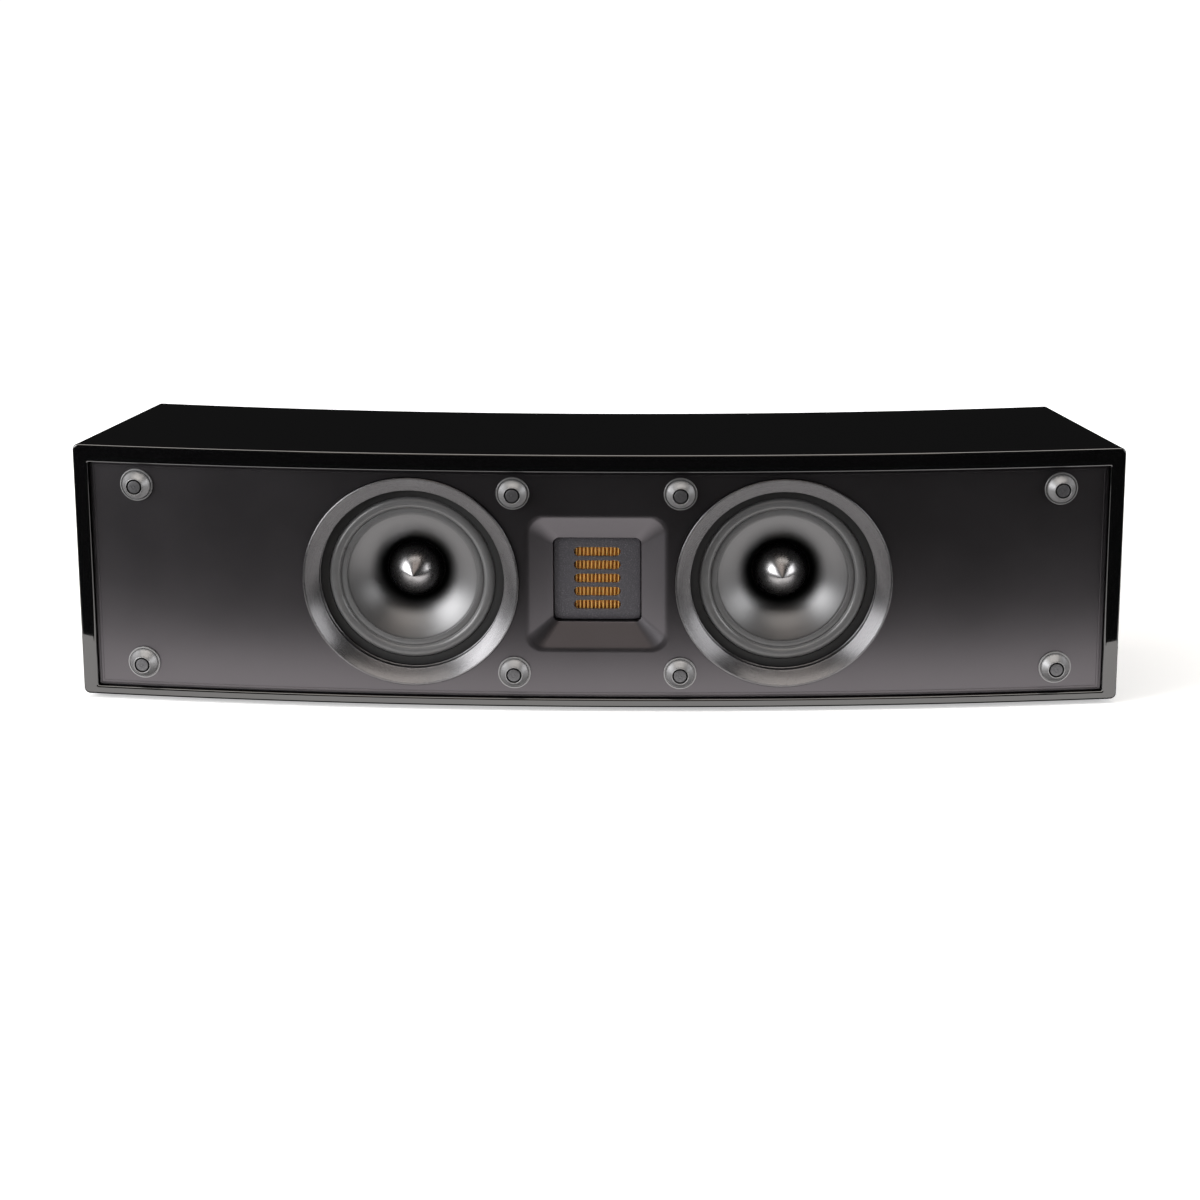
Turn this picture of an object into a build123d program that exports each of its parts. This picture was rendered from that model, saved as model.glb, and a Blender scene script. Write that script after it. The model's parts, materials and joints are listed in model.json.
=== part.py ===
from build123d import *

import os
from math import asin, cos, radians, sin, sqrt

# Centre channel speaker with a bowed front: two metal-cone woofers beside a pleated-film tweeter.
# Millimetres, +X right, +Z up, front towards -Y. The origin is under the middle of the body, on the floor.

os.makedirs("parts", exist_ok=True)

# Cabinet
cab_w = 681.0  # across the front frame, before its edge is rounded
cab_h = 171.0
cab_d = 105.0  # on the centre line
rear_w = 600.0
front_r = 2570.0  # bow of the front, seen from above
rear_r = 1915.0  # bow of the back, curved the same way
wall = 15.0
bar_top = 10.7
bar_bottom = 6.5
bar_side = 9.4
corner_r = 4.0  # long corners between the sides and the top or bottom
edge_r = 1.4
lip_r = 0.6  # inner edge of the front frame
mouth_corner_r = 2.0

# Baffle plate, baffle board and rear panel
recess = 4.0  # frame front to plate face
plate_t = 4.0
plate_bevel = 1.6
plate_gap = 0.5
board_t = 18.0
board_gap = 0.2
rear_t = 12.0
rear_lip = 7.0

# Feet
foot_d = 16.0
foot_h = 3.0
foot_x = 240.0
foot_inset = 24.0  # foot centre behind the front or ahead of the back

# Braces and damping
brace_gap = 20.6  # trim ring to the middle of a brace
brace_t = 12.0
brace_rim = 22.0
pad_t = 10.0
pad_w = 50.0
pad_h = 120.0
pad_gap = 6.0  # pad to brace

# Grille posts
post_x_inner = 54.0
post_side_in = 41.5  # outer post to the frame's outer side
post_edge_in = 16.1  # post to the opening's upper or lower edge
post_h = 7.0
post_base_r = 10.75
post_rim = 0.8
post_flange = 1.2
post_top_r = 5.7
post_pocket_r = 5.1
magnet_r = 4.3
magnet_t = 3.0
stem_r = 4.0
stem_len = 16.0
stem_fit = 0.1

# Woofers, with depths measured behind the plate face
driver_gap = 5.35  # trim ring to the tweeter's recess
ring_margin = 6.5  # trim ring to the opening's upper or lower edge
ring_face = 9.9  # outer edge to bore
ring_proud = 1.4
ring_dish = 5.1
ring_land = 5.9  # inner wall below the dish
ring_web_t = 1.0  # below the dish's inner edge
ring_edge = 0.4
ring_foot = 1.7
ring_seat_w = 2.2
seat_sink = 1.3
ring_fit = 0.3
flange_set = 11.5
flange_t = 2.5
flange_gap = 0.4
gasket_gap = 0.3
gasket_w = 6.3  # trim ring's bore to the surround's roll
roll_w = 6.9
rubber_t = 0.8
lip_out = 2.8
lip_in = 4.3
cone_depth = 20.5
cone_t = 0.6
cone_bow = 2.6
cone_flat = 4.5
collar_len = 3.5
pole_r = 18.2
coil_clear = 0.5
former_t = 0.3
winding_t = 0.6
gap_clear = 0.5
winding_len = 11.0
plug_tip = 11.0
plug_pin_r = 6.0
plug_pin_len = 8.0
basket_depth = 34.5
basket_wall = 2.6
basket_draw = 13.2  # surround's roll in to the basket's foot
basket_foot_t = 2.2
spokes = 6
spoke_w = 12.0
ledge_drop = 26.7  # flange face to the spider's ledge
ledge_w = 3.6
spider_t = 0.5
spider_h = 1.1
spider_roll_w = 2.6  # width of one corrugation, about
top_plate_over = 1.0  # beyond the basket's foot
top_plate_t = 5.0
motor_magnet_over = 3.0  # beyond the top plate
motor_magnet_bore_r = 24.0
motor_magnet_t = 15.0
yoke_t = 5.0
screw_r = 1.6
screw_len = 8.0
screw_head_r = 2.4
screw_head_t = 1.5

# Tweeter, with depths measured behind the plate face
guide_w = 90.5
guide_h = 90.0
guide_corner_r = 10.0
guide_depth = 9.0
guide_roll_r = 3.0
throat_w = 57.5
throat_h = 57.0
throat_corner_r = 3.5
throat_len = 7.0
boss_wall = 13.0
land_gap = 0.6
land_set = 3.5  # throat edge to the slotted face
slot_w = 30.4
slot_h = 6.0
slot_pitch = 9.0
slots = 5
slot_bevel = 0.4
slot_web_t = 1.6  # slotted face to the film's pocket
tweeter_flange_w = 76.0
tweeter_flange_t = 3.0
frame_w = 60.0
frame_t = 5.0
film_w = 32.5
film_h = 46.0
film_fit = 0.2
pleats = 13
film_hold = 1.0  # of the film's border on its frame
pleat_depth = 3.6
film_t = 0.5  # along the pleat's depth
bar_magnet_w = 11.0
bar_magnet_h = 56.0
bar_magnet_t = 9.0
bar_magnet_x = 24.5
back_plate_w = 64.0
back_plate_t = 4.0
cover_t = 11.0
cover_wall = 2.0
felt_t = 5.0
tweeter_screw_at = 33.0
tweeter_screw_len = 7.0

# Terminals
terminal_w = 92.0
terminal_h = 62.0
terminal_t = 4.0
terminal_corner_r = 5.0
terminal_sink = 2.0
terminal_window_w = 66.0
terminal_window_h = 36.0
terminal_screw_in = 6.0
stud_pitch = 19.0
stud_r = 3.0
stud_out = 17.0
stud_in = 22.0
banana_r = 2.05
banana_deep = 13.0
collar_r = 8.0
collar_t = 3.0
nut_r = 7.5
nut_len = 11.0
nut_gap = 0.2  # thumb nut to collar
insert_r = 4.75
insert_len = 9.0
insert_fit = 0.08
grip_fit = 0.05
nut_flutes = 12
flute_r = 1.0
hex_r = 5.5
hex_t = 4.0

# Crossover on the cabinet floor
cross_w = 152.0
cross_d = 50.0
cross_t = 1.6
cross_back = 6.0  # board edge to rear panel
spacer_h = 5.0
spacer_r = 3.5
spacer_in = 6.0  # spacer centre to board edges
choke_r = 16.0
choke_bore_r = 7.0
choke_h = 16.0
choke_x = 42.0
cap_r = 7.0
cap_len = 30.0
cap_pitch = 16.0
caps = 3
resistor_l = 24.0
resistor_w = 8.0
resistor_h = 9.0
resistor_x = 66.0
wire_r = 1.2
wire_pitch = 3.6
wire_slack = 0.2  # wire end to what it is soldered on
tag_t = 3.0
tag_deg = 14.0
tag_top = 11.0  # flange face to the tag's upper edge
tag_len = 9.0

# Levels and places that follow from the sizes
def sag(radius, half_width):
    """Depth of an arc over half its chord."""
    return radius - sqrt(radius**2 - half_width**2)


open_h = cab_h - bar_bottom - bar_top
post_x_outer = cab_w / 2 - post_side_in
post_z = open_h / 2 - post_edge_in
ring_r = open_h / 2 - ring_margin
ring_bore_r = ring_r - ring_face
roll_out_r = ring_bore_r - gasket_w
roll_in_r = roll_out_r - roll_w
basket_foot_r = roll_out_r - basket_draw
top_plate_r = basket_foot_r + top_plate_over
motor_magnet_r = top_plate_r + motor_magnet_over
woofer_x = guide_w / 2 + driver_gap + ring_r
brace_x = woofer_x + ring_r + brace_gap
face_r = front_r - recess
post_turn = asin(post_x_inner / face_r)
post_reach = (face_r + post_h) * cos(post_turn) + post_top_r * sin(post_turn) - front_r
overshoot = max(post_reach, 0.0)
depth = cab_d + sag(rear_r, rear_w / 2) + overshoot
front_y = overshoot - depth / 2
rear_y = front_y + cab_d
front_cy = front_y + front_r
rear_cy = rear_y + rear_r
front_corner_y = front_y + sag(front_r, cab_w / 2)
rear_corner_y = rear_y + sag(rear_r, rear_w / 2)
taper = (cab_w - rear_w) / 2 / (rear_corner_y - front_corner_y)
base_z = foot_h
top_z = base_z + cab_h
open_z0 = base_z + bar_bottom
mid_z = open_z0 + open_h / 2
board_back = recess + plate_t + board_t


def front_arc(behind):
    """Circle of the front bow, set back from the frame's front."""
    return front_cy, front_r - behind


def rear_arc(ahead):
    """Circle of the rear bow, set forward from the back."""
    return rear_cy, rear_r + ahead


def side_point(arc, inset):
    """Where the tapered side, moved inwards, meets a bow."""
    centre_y, radius = arc
    reach = cab_w / 2 - inset - taper * (centre_y - front_corner_y)
    drop = (reach * taper - sqrt(radius**2 * (1 + taper**2) - reach**2)) / (1 + taper**2)
    return reach - taper * drop, centre_y + drop


def plan_face(near_arc, far_arc, inset):
    """Plan outline between two bows and the tapered sides."""
    near_x, near_y = side_point(near_arc, inset)
    far_x, far_y = side_point(far_arc, inset)
    with BuildSketch() as plan:
        with BuildLine():
            ThreePointArc((-near_x, near_y), (0, near_arc[0] - near_arc[1]), (near_x, near_y))
            Line((near_x, near_y), (far_x, far_y))
            ThreePointArc((far_x, far_y), (0, far_arc[0] - far_arc[1]), (-far_x, far_y))
            Line((-far_x, far_y), (-near_x, near_y))
        make_face()
    return plan.sketch


def front_plane(x, z, behind):
    """Plane that faces out of the bowed front at a place on it."""
    turn = asin(x / face_r)
    radius = front_r - behind
    place = (radius * sin(turn), front_cy - radius * cos(turn), z)
    return Plane(place, x_dir=(cos(turn), sin(turn), 0), z_dir=(sin(turn), -cos(turn), 0))


def section(seat, turn=0):
    """Half-section plane of a turned piece: x is its radius, y runs outwards along its axis."""
    spoke = seat.x_dir.rotate(Axis((0, 0, 0), seat.z_dir), turn)
    return Plane(seat.origin, x_dir=spoke, z_dir=spoke.cross(seat.z_dir))


def axis_of(seat):
    """Turning axis of a seat."""
    return Axis(seat.origin, seat.z_dir)


def save(piece, name):
    """Label a finished piece and write it to its own file."""
    piece.part.label = name
    export_step(piece.part, f"parts/{name}.step")


post_seats = []
for post_x in (-post_x_outer, -post_x_inner, post_x_inner, post_x_outer):
    for side_z in (mid_z - post_z, mid_z + post_z):
        post_seats.append(front_plane(post_x, side_z, recess))
woofer_seats = {
    "left": front_plane(-woofer_x, mid_z, recess),
    "right": front_plane(woofer_x, mid_z, recess),
}
tweeter_seat = front_plane(0, mid_z, recess)
rear_seat = Plane((0, rear_y, mid_z), x_dir=(-1, 0, 0), z_dir=(0, 1, 0))

spigot_r = ring_r - ring_seat_w
woofer_hole_r = spigot_r + ring_fit
flange_r = woofer_hole_r - flange_gap
basket_mouth_r = roll_out_r + basket_wall + 1.5
board_hole_r = basket_mouth_r + 1.0
seat_w = -seat_sink
flange_w = -flange_set
ring_under = ring_proud - ring_dish - ring_edge - ring_web_t
ring_low = ring_proud - ring_dish - ring_edge - ring_land
boss_w = throat_w + 2 * boss_wall
boss_h = throat_h + 2 * boss_wall
boss_back = guide_depth + throat_len

# Cabinet shell: bowed body with a front rabbet behind the frame, a cavity and a rear rabbet
with BuildPart() as front_mouth:
    with BuildSketch(Plane.XY.offset(open_z0)):
        add(plan_face(front_arc(-edge_r * 4), front_arc(board_back), bar_side))
    extrude(amount=open_h)
    corners = front_mouth.edges().filter_by(GeomType.LINE).filter_by(Axis.Z, reverse=True)
    fillet(corners, mouth_corner_r)

with BuildPart() as shell:
    with BuildSketch(Plane.XY.offset(base_z)):
        add(plan_face(front_arc(0), rear_arc(0), 0))
    extrude(amount=cab_h)
    fillet(shell.edges().filter_by(GeomType.LINE).filter_by(Axis.Z, reverse=True), corner_r)
    fillet(shell.faces().sort_by(Axis.Y)[0].edges(), edge_r)
    fillet(shell.faces().sort_by(Axis.Y)[-1].edges(), edge_r)
    add(front_mouth.part, mode=Mode.SUBTRACT)
    fillet(shell.faces().sort_by(Axis.Y)[0].inner_wires()[0].edges(), lip_r)
    with BuildSketch(Plane.XY.offset(base_z + wall)):
        add(plan_face(front_arc(recess + plate_t), rear_arc(rear_t / 2), wall))
    extrude(amount=cab_h - 2 * wall, mode=Mode.SUBTRACT)
    with BuildSketch(Plane.XY.offset(base_z + rear_lip)):
        add(plan_face(rear_arc(rear_t), rear_arc(-edge_r * 4), rear_lip))
    extrude(amount=cab_h - 2 * rear_lip, mode=Mode.SUBTRACT)
save(shell, "cabinet_shell")

# Feet: round rubber pads under the floor
foot_y = (front_y + sag(front_r, foot_x) + foot_inset, rear_y + sag(rear_r, foot_x) - foot_inset)
foot_places = [(x, y) for x in (-foot_x, foot_x) for y in foot_y]
with BuildPart() as feet:
    with BuildSketch():
        with Locations(*foot_places):
            Circle(foot_d / 2)
    extrude(amount=foot_h)
    fillet(feet.edges().group_by(Axis.Z)[0], foot_h / 4)
save(feet, "feet")

# Baffle plate: bowed metal skin with the flared tweeter recess drawn into it
with BuildPart() as plate:
    with BuildSketch(Plane.XY.offset(open_z0 + plate_gap)):
        add(plan_face(front_arc(recess), front_arc(recess + plate_t), bar_side + plate_gap))
    extrude(amount=open_h - 2 * plate_gap)
    corners = plate.edges().filter_by(GeomType.LINE).filter_by(Axis.Z, reverse=True)
    fillet(corners, mouth_corner_r)
    chamfer(plate.faces().sort_by(Axis.Y)[0].edges(), plate_bevel)
    with BuildSketch(tweeter_seat.offset(-boss_back)):
        RectangleRounded(boss_w, boss_h, throat_corner_r + boss_wall / 2)
    extrude(amount=boss_back - plate_t / 2)
    flare = (guide_w - throat_w) / guide_depth
    with BuildSketch(tweeter_seat.offset(1.0)):
        RectangleRounded(guide_w + flare, guide_h + flare, guide_corner_r)
    with BuildSketch(tweeter_seat.offset(-guide_depth)):
        RectangleRounded(throat_w, throat_h, throat_corner_r)
    loft(mode=Mode.SUBTRACT)
    with BuildSketch(tweeter_seat.offset(-boss_back)):
        RectangleRounded(throat_w, throat_h, throat_corner_r)
    extrude(amount=throat_len, mode=Mode.SUBTRACT)
    fillet(plate.faces().sort_by(Axis.Y)[0].inner_wires()[0].edges(), guide_roll_r)
    with BuildSketch(tweeter_seat.offset(-boss_back)):
        with GridLocations(2 * tweeter_screw_at, 2 * tweeter_screw_at, 2, 2):
            Circle(screw_r)
    extrude(amount=tweeter_screw_len - tweeter_flange_t, mode=Mode.SUBTRACT)
    for seat in woofer_seats.values():
        with BuildSketch(seat.offset(seat_w)):
            Circle(ring_r + ring_fit)
        extrude(amount=plate_t, mode=Mode.SUBTRACT)
        with BuildSketch(seat.offset(-2 * plate_t)):
            Circle(woofer_hole_r)
        extrude(amount=3 * plate_t, mode=Mode.SUBTRACT)
    for seat in post_seats:
        with BuildSketch(seat.offset(-2 * plate_t)):
            Circle(stem_r + stem_fit)
        extrude(amount=3 * plate_t, mode=Mode.SUBTRACT)
save(plate, "baffle_plate")

# Baffle board: bowed board that carries the plate and the drivers
with BuildPart() as board:
    with BuildSketch(Plane.XY.offset(open_z0 + board_gap)):
        add(plan_face(front_arc(recess + plate_t), front_arc(board_back), bar_side + board_gap))
    extrude(amount=open_h - 2 * board_gap)
    corners = board.edges().filter_by(GeomType.LINE).filter_by(Axis.Z, reverse=True)
    fillet(corners, mouth_corner_r)
    with BuildSketch(tweeter_seat.offset(-2 * board_back)):
        RectangleRounded(boss_w + 2 * board_gap, boss_h + 2 * board_gap, throat_corner_r + boss_wall / 2)
    extrude(amount=3 * board_back, mode=Mode.SUBTRACT)
    for seat in woofer_seats.values():
        with BuildSketch(seat.offset(flange_w - flange_t)):
            Circle(woofer_hole_r)
        extrude(amount=board_back, mode=Mode.SUBTRACT)
        with BuildSketch(seat.offset(-2 * board_back)):
            Circle(board_hole_r)
        extrude(amount=3 * board_back, mode=Mode.SUBTRACT)
        with BuildSketch(seat.offset(flange_w - flange_t)):
            with PolarLocations(flange_r - screw_head_r - ring_edge, 4, start_angle=45):
                Circle(screw_r)
        extrude(amount=-screw_len + flange_t, mode=Mode.SUBTRACT)
    for seat in post_seats:
        with BuildSketch(seat.offset(-stem_len)):
            Circle(stem_r + stem_fit)
        extrude(amount=board_back, mode=Mode.SUBTRACT)
save(board, "baffle_board")

# Rear panel: bowed board in the rear rabbet, with a flat seat and a window for the terminals
rear_z0 = base_z + rear_lip + board_gap
rear_h = cab_h - 2 * (rear_lip + board_gap)
with BuildPart() as rear_panel:
    with BuildSketch(Plane.XY.offset(rear_z0)):
        add(plan_face(rear_arc(rear_t), rear_arc(0), rear_lip + board_gap))
    extrude(amount=rear_h)
    with BuildSketch(rear_seat.offset(-terminal_sink)):
        RectangleRounded(
            terminal_w + 2 * board_gap, terminal_h + 2 * board_gap, terminal_corner_r + board_gap
        )
    extrude(amount=rear_t, mode=Mode.SUBTRACT)
    with BuildSketch(rear_seat.offset(-2 * rear_t)):
        RectangleRounded(terminal_window_w, terminal_window_h, terminal_corner_r)
    extrude(amount=3 * rear_t, mode=Mode.SUBTRACT)
    with BuildSketch(rear_seat.offset(-terminal_sink)):
        with GridLocations(terminal_w - 2 * terminal_screw_in, terminal_h - 2 * terminal_screw_in, 2, 2):
            Circle(screw_r)
    extrude(amount=terminal_t - screw_len, mode=Mode.SUBTRACT)
save(rear_panel, "rear_panel")

# Window braces across the cavity
cavity = (front_arc(board_back), rear_arc(rear_t), wall)
for side, sign in (("left", -1), ("right", 1)):
    with BuildPart() as brace:
        with BuildSketch(Plane.XY.offset(base_z + wall)):
            add(plan_face(*cavity))
            with Locations((sign * brace_x, 0)):
                Rectangle(brace_t, 4 * cab_d, mode=Mode.INTERSECT)
        extrude(amount=cab_h - 2 * wall)
        room = brace.part.bounding_box()
        with BuildSketch(Plane.YZ.offset(sign * brace_x - brace_t)):
            with Locations((room.center().Y, room.center().Z)):
                RectangleRounded(room.size.Y - 2 * brace_rim, room.size.Z - 2 * brace_rim, brace_rim / 3)
        extrude(amount=2 * brace_t, mode=Mode.SUBTRACT)
    save(brace, f"brace_{side}")

    pad_x = sign * (brace_x + brace_t / 2 + pad_gap + pad_w / 2)
    with BuildPart() as pad:
        with BuildSketch(Plane.XY.offset(base_z + cab_h / 2 - pad_h / 2)):
            add(plan_face(rear_arc(rear_t + pad_t), rear_arc(rear_t), wall))
            with Locations((pad_x, 0)):
                Rectangle(pad_w, 4 * cab_d, mode=Mode.INTERSECT)
        extrude(amount=pad_h)
    save(pad, f"damping_pad_{side}")

# Grille posts: turned cones with a thin rim, a stem in the baffle and a pocket for a magnet
with BuildPart() as posts:
    for seat in post_seats:
        with BuildSketch(section(seat)):
            with BuildLine():
                Polyline(
                    (0, -stem_len),
                    (stem_r, -stem_len),
                    (stem_r, 0),
                    (post_base_r, 0),
                    (post_base_r, post_flange),
                    (post_base_r - post_rim, post_flange),
                    (post_top_r, post_h),
                    (post_pocket_r, post_h),
                    (post_pocket_r, post_h - magnet_t),
                    (0, post_h - magnet_t),
                    close=True,
                )
            make_face()
        revolve(axis=axis_of(seat))
save(posts, "grille_posts")

with BuildPart() as magnets:
    for seat in post_seats:
        with BuildSketch(seat.offset(post_h - magnet_t)):
            Circle(magnet_r)
        extrude(amount=magnet_t)
save(magnets, "grille_magnets")

# Woofers, one set of pieces for each side
neck_w = flange_w - cone_depth
former_in = pole_r + coil_clear
former_out = former_in + former_t
winding_out = former_out + winding_t
gap_r = winding_out + gap_clear
foot_w = flange_w - basket_depth
plate_low = foot_w - top_plate_t
magnet_low = plate_low - motor_magnet_t
ledge_top = flange_w - ledge_drop
screw_circle = flange_r - screw_head_r - ring_edge
rim_r = roll_in_r - 0.2
for side, seat in woofer_seats.items():
    # Trim ring: dished face from a proud outer edge to a short wall inside
    with BuildPart() as ring:
        with BuildSketch(section(seat)):
            with BuildLine():
                Polyline(
                    (ring_r, seat_w),
                    (ring_r, ring_proud - ring_edge),
                    (ring_r - ring_edge, ring_proud),
                    (ring_bore_r + ring_edge, ring_proud - ring_dish),
                    (ring_bore_r, ring_proud - ring_dish - ring_edge),
                    (ring_bore_r, ring_low),
                    (ring_bore_r + ring_foot, ring_low),
                    (ring_bore_r + ring_foot, ring_under),
                    (spigot_r, ring_under),
                    (spigot_r, seat_w),
                    close=True,
                )
            make_face()
        revolve(axis=axis_of(seat))
    save(ring, f"trim_ring_{side}")

    # Basket: flange, spoked wall, spider ledge and foot
    with BuildPart() as basket:
        with BuildSketch(section(seat)):
            with BuildLine():
                Polyline(
                    (flange_r, flange_w),
                    (flange_r, flange_w - flange_t),
                    (basket_mouth_r, flange_w - flange_t),
                    (basket_foot_r + basket_wall, ledge_top),
                    (basket_foot_r, foot_w + basket_foot_t),
                    (basket_foot_r, foot_w),
                    (motor_magnet_bore_r + basket_foot_t, foot_w),
                    (motor_magnet_bore_r + basket_foot_t, foot_w + basket_foot_t),
                    (basket_foot_r - ledge_w - 1.0, foot_w + basket_foot_t),
                    (basket_foot_r - ledge_w - 1.0, ledge_top),
                    (basket_foot_r - 1.0, ledge_top),
                    (roll_out_r, flange_w - flange_t),
                    (roll_out_r, flange_w),
                    close=True,
                )
            make_face()
        revolve(axis=axis_of(seat))
        with BuildSketch(seat.offset(flange_w - flange_t)):
            Circle(roll_out_r)
            Circle(basket_foot_r + basket_wall, mode=Mode.SUBTRACT)
            with PolarLocations(0, spokes):
                Rectangle(flange_r, spoke_w, align=(Align.MIN, Align.CENTER), mode=Mode.SUBTRACT)
        extrude(amount=-(ledge_drop - flange_t), mode=Mode.SUBTRACT)
        with BuildSketch(seat.offset(flange_w)):
            with PolarLocations(screw_circle, 4, start_angle=45):
                Circle(screw_r)
        extrude(amount=-flange_t, mode=Mode.SUBTRACT)
    save(basket, f"basket_{side}")

    # Surround: rubber half roll with a lip on the basket and a lip on the cone
    roll_mid = (roll_out_r + roll_in_r) / 2
    roll_half = (roll_out_r - roll_in_r) / 2
    with BuildPart() as surround:
        with BuildSketch(section(seat)):
            with BuildLine():
                Polyline(
                    (roll_in_r, flange_w + rubber_t),
                    (roll_in_r - lip_in, flange_w + rubber_t),
                    (roll_in_r - lip_in, flange_w),
                    (roll_in_r + rubber_t, flange_w),
                )
                ThreePointArc(
                    (roll_in_r + rubber_t, flange_w),
                    (roll_mid, flange_w + roll_half - rubber_t),
                    (roll_out_r - rubber_t, flange_w),
                )
                Polyline(
                    (roll_out_r - rubber_t, flange_w),
                    (roll_out_r + lip_out, flange_w),
                    (roll_out_r + lip_out, flange_w + rubber_t),
                    (roll_out_r, flange_w + rubber_t),
                )
                ThreePointArc(
                    (roll_out_r, flange_w + rubber_t),
                    (roll_mid, flange_w + roll_half),
                    (roll_in_r, flange_w + rubber_t),
                )
            make_face()
        revolve(axis=axis_of(seat))
    save(surround, f"surround_{side}")

    # Gasket: foam ring that holds the surround's lip down and fills up to the trim ring
    with BuildPart() as gasket:
        with BuildSketch(section(seat)):
            with BuildLine():
                Polyline(
                    (roll_out_r + gasket_gap, flange_w + rubber_t),
                    (roll_out_r + gasket_gap, ring_low),
                    (ring_bore_r - gasket_gap, ring_low),
                    (ring_bore_r - gasket_gap, flange_w),
                    (roll_out_r + lip_out + gasket_gap, flange_w),
                    (roll_out_r + lip_out + gasket_gap, flange_w + rubber_t),
                    close=True,
                )
            make_face()
        revolve(axis=axis_of(seat))
    save(gasket, f"gasket_{side}")

    # Cone: thin flared metal dish with a flat rim and a collar on the coil former
    flat_r = rim_r - cone_flat
    bow_r = (flat_r + former_out) / 2 - cone_bow * 0.66
    bow_w = (flange_w + neck_w) / 2 + cone_bow * 0.75
    with BuildPart() as cone:
        with BuildSketch(section(seat)):
            with BuildLine():
                Polyline((flat_r, flange_w), (rim_r, flange_w), (rim_r, flange_w - cone_t))
                Line((rim_r, flange_w - cone_t), (flat_r, flange_w - cone_t))
                ThreePointArc(
                    (flat_r, flange_w - cone_t),
                    (bow_r + cone_t * 0.3, bow_w - cone_t),
                    (former_out + cone_t, neck_w - cone_t),
                )
                Polyline(
                    (former_out + cone_t, neck_w - cone_t),
                    (former_out + cone_t, neck_w - collar_len),
                    (former_out, neck_w - collar_len),
                    (former_out, neck_w),
                )
                ThreePointArc((former_out, neck_w), (bow_r, bow_w), (flat_r, flange_w))
            make_face()
        revolve(axis=axis_of(seat))
    save(cone, f"cone_{side}")

    # Voice coil: former tube with its winding centred in the magnet gap
    winding_mid = foot_w - top_plate_t / 2
    winding_top = winding_mid + winding_len / 2
    winding_low = winding_mid - winding_len / 2
    with BuildPart() as coil:
        with BuildSketch(section(seat)):
            with BuildLine():
                Polyline(
                    (former_in, neck_w),
                    (former_out, neck_w),
                    (former_out, winding_top),
                    (winding_out, winding_top),
                    (winding_out, winding_low),
                    (former_in, winding_low),
                    close=True,
                )
            make_face()
        revolve(axis=axis_of(seat))
    save(coil, f"voice_coil_{side}")

    # Spider: corrugated disc from the former to the basket's ledge
    spider_in = former_out
    spider_out = basket_foot_r - 1.0 - ring_edge
    flat_in = spider_in + 1.5
    flat_out = spider_out - ledge_w
    spider_rolls = max(2, round((flat_out - flat_in) / spider_roll_w))
    wave_w = (flat_out - flat_in) / spider_rolls
    with BuildPart() as spider:
        with BuildSketch(section(seat)):
            with BuildLine():
                for low in (ledge_top, ledge_top + spider_t):
                    Line((spider_in, low), (flat_in, low))
                    for k in range(spider_rolls):
                        start = flat_in + k * wave_w
                        ThreePointArc(
                            (start, low),
                            (start + wave_w / 2, low + spider_h * (-1) ** k),
                            (start + wave_w, low),
                        )
                    Line((flat_out, low), (spider_out, low))
                Line((spider_in, ledge_top), (spider_in, ledge_top + spider_t))
                Line((spider_out, ledge_top), (spider_out, ledge_top + spider_t))
            make_face()
        revolve(axis=axis_of(seat))
    save(spider, f"spider_{side}")

    # Motor: top plate, ring magnet and yoke with its pole
    with BuildPart() as top_plate:
        with BuildSketch(seat.offset(plate_low)):
            Circle(top_plate_r)
            Circle(gap_r, mode=Mode.SUBTRACT)
        extrude(amount=top_plate_t)
    save(top_plate, f"top_plate_{side}")

    with BuildPart() as magnet:
        with BuildSketch(seat.offset(magnet_low)):
            Circle(motor_magnet_r)
            Circle(motor_magnet_bore_r, mode=Mode.SUBTRACT)
        extrude(amount=motor_magnet_t)
    save(magnet, f"magnet_{side}")

    with BuildPart() as yoke:
        with BuildSketch(section(seat)):
            with BuildLine():
                Polyline(
                    (0, magnet_low - yoke_t),
                    (top_plate_r, magnet_low - yoke_t),
                    (top_plate_r, magnet_low),
                    (pole_r, magnet_low),
                    (pole_r, foot_w),
                    (plug_pin_r, foot_w),
                    (plug_pin_r, foot_w - plug_pin_len),
                    (0, foot_w - plug_pin_len),
                    close=True,
                )
            make_face()
        revolve(axis=axis_of(seat))
    save(yoke, f"yoke_{side}")

    # Phase plug: bullet pressed into the pole
    nose_w = -plug_tip - pole_r
    with BuildPart() as plug:
        with BuildSketch(section(seat)):
            with BuildLine():
                Polyline(
                    (0, -plug_tip),
                    (0, foot_w - plug_pin_len),
                    (plug_pin_r, foot_w - plug_pin_len),
                    (plug_pin_r, foot_w),
                    (pole_r, foot_w),
                    (pole_r, nose_w),
                )
                RadiusArc((pole_r, nose_w), (0, -plug_tip), -pole_r)
            make_face()
        revolve(axis=axis_of(seat))
    save(plug, f"phase_plug_{side}")

    # Mounting screws under the trim ring
    with BuildPart() as screws:
        with BuildSketch(seat.offset(flange_w)):
            with PolarLocations(screw_circle, 4, start_angle=45):
                Circle(screw_head_r)
        extrude(amount=screw_head_t)
        with BuildSketch(seat.offset(flange_w)):
            with PolarLocations(screw_circle, 4, start_angle=45):
                Circle(screw_r)
        extrude(amount=-screw_len)
    save(screws, f"woofer_screws_{side}")

# Tag strips on the baskets, on the side that faces the crossover
wall_slope = (basket_mouth_r - basket_foot_r - basket_wall) / (ledge_drop - flange_t)


def basket_wall_r(drop):
    """Outer radius of the basket's wall, at a depth below the flange face."""
    return basket_mouth_r - wall_slope * (drop - flange_t)


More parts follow.
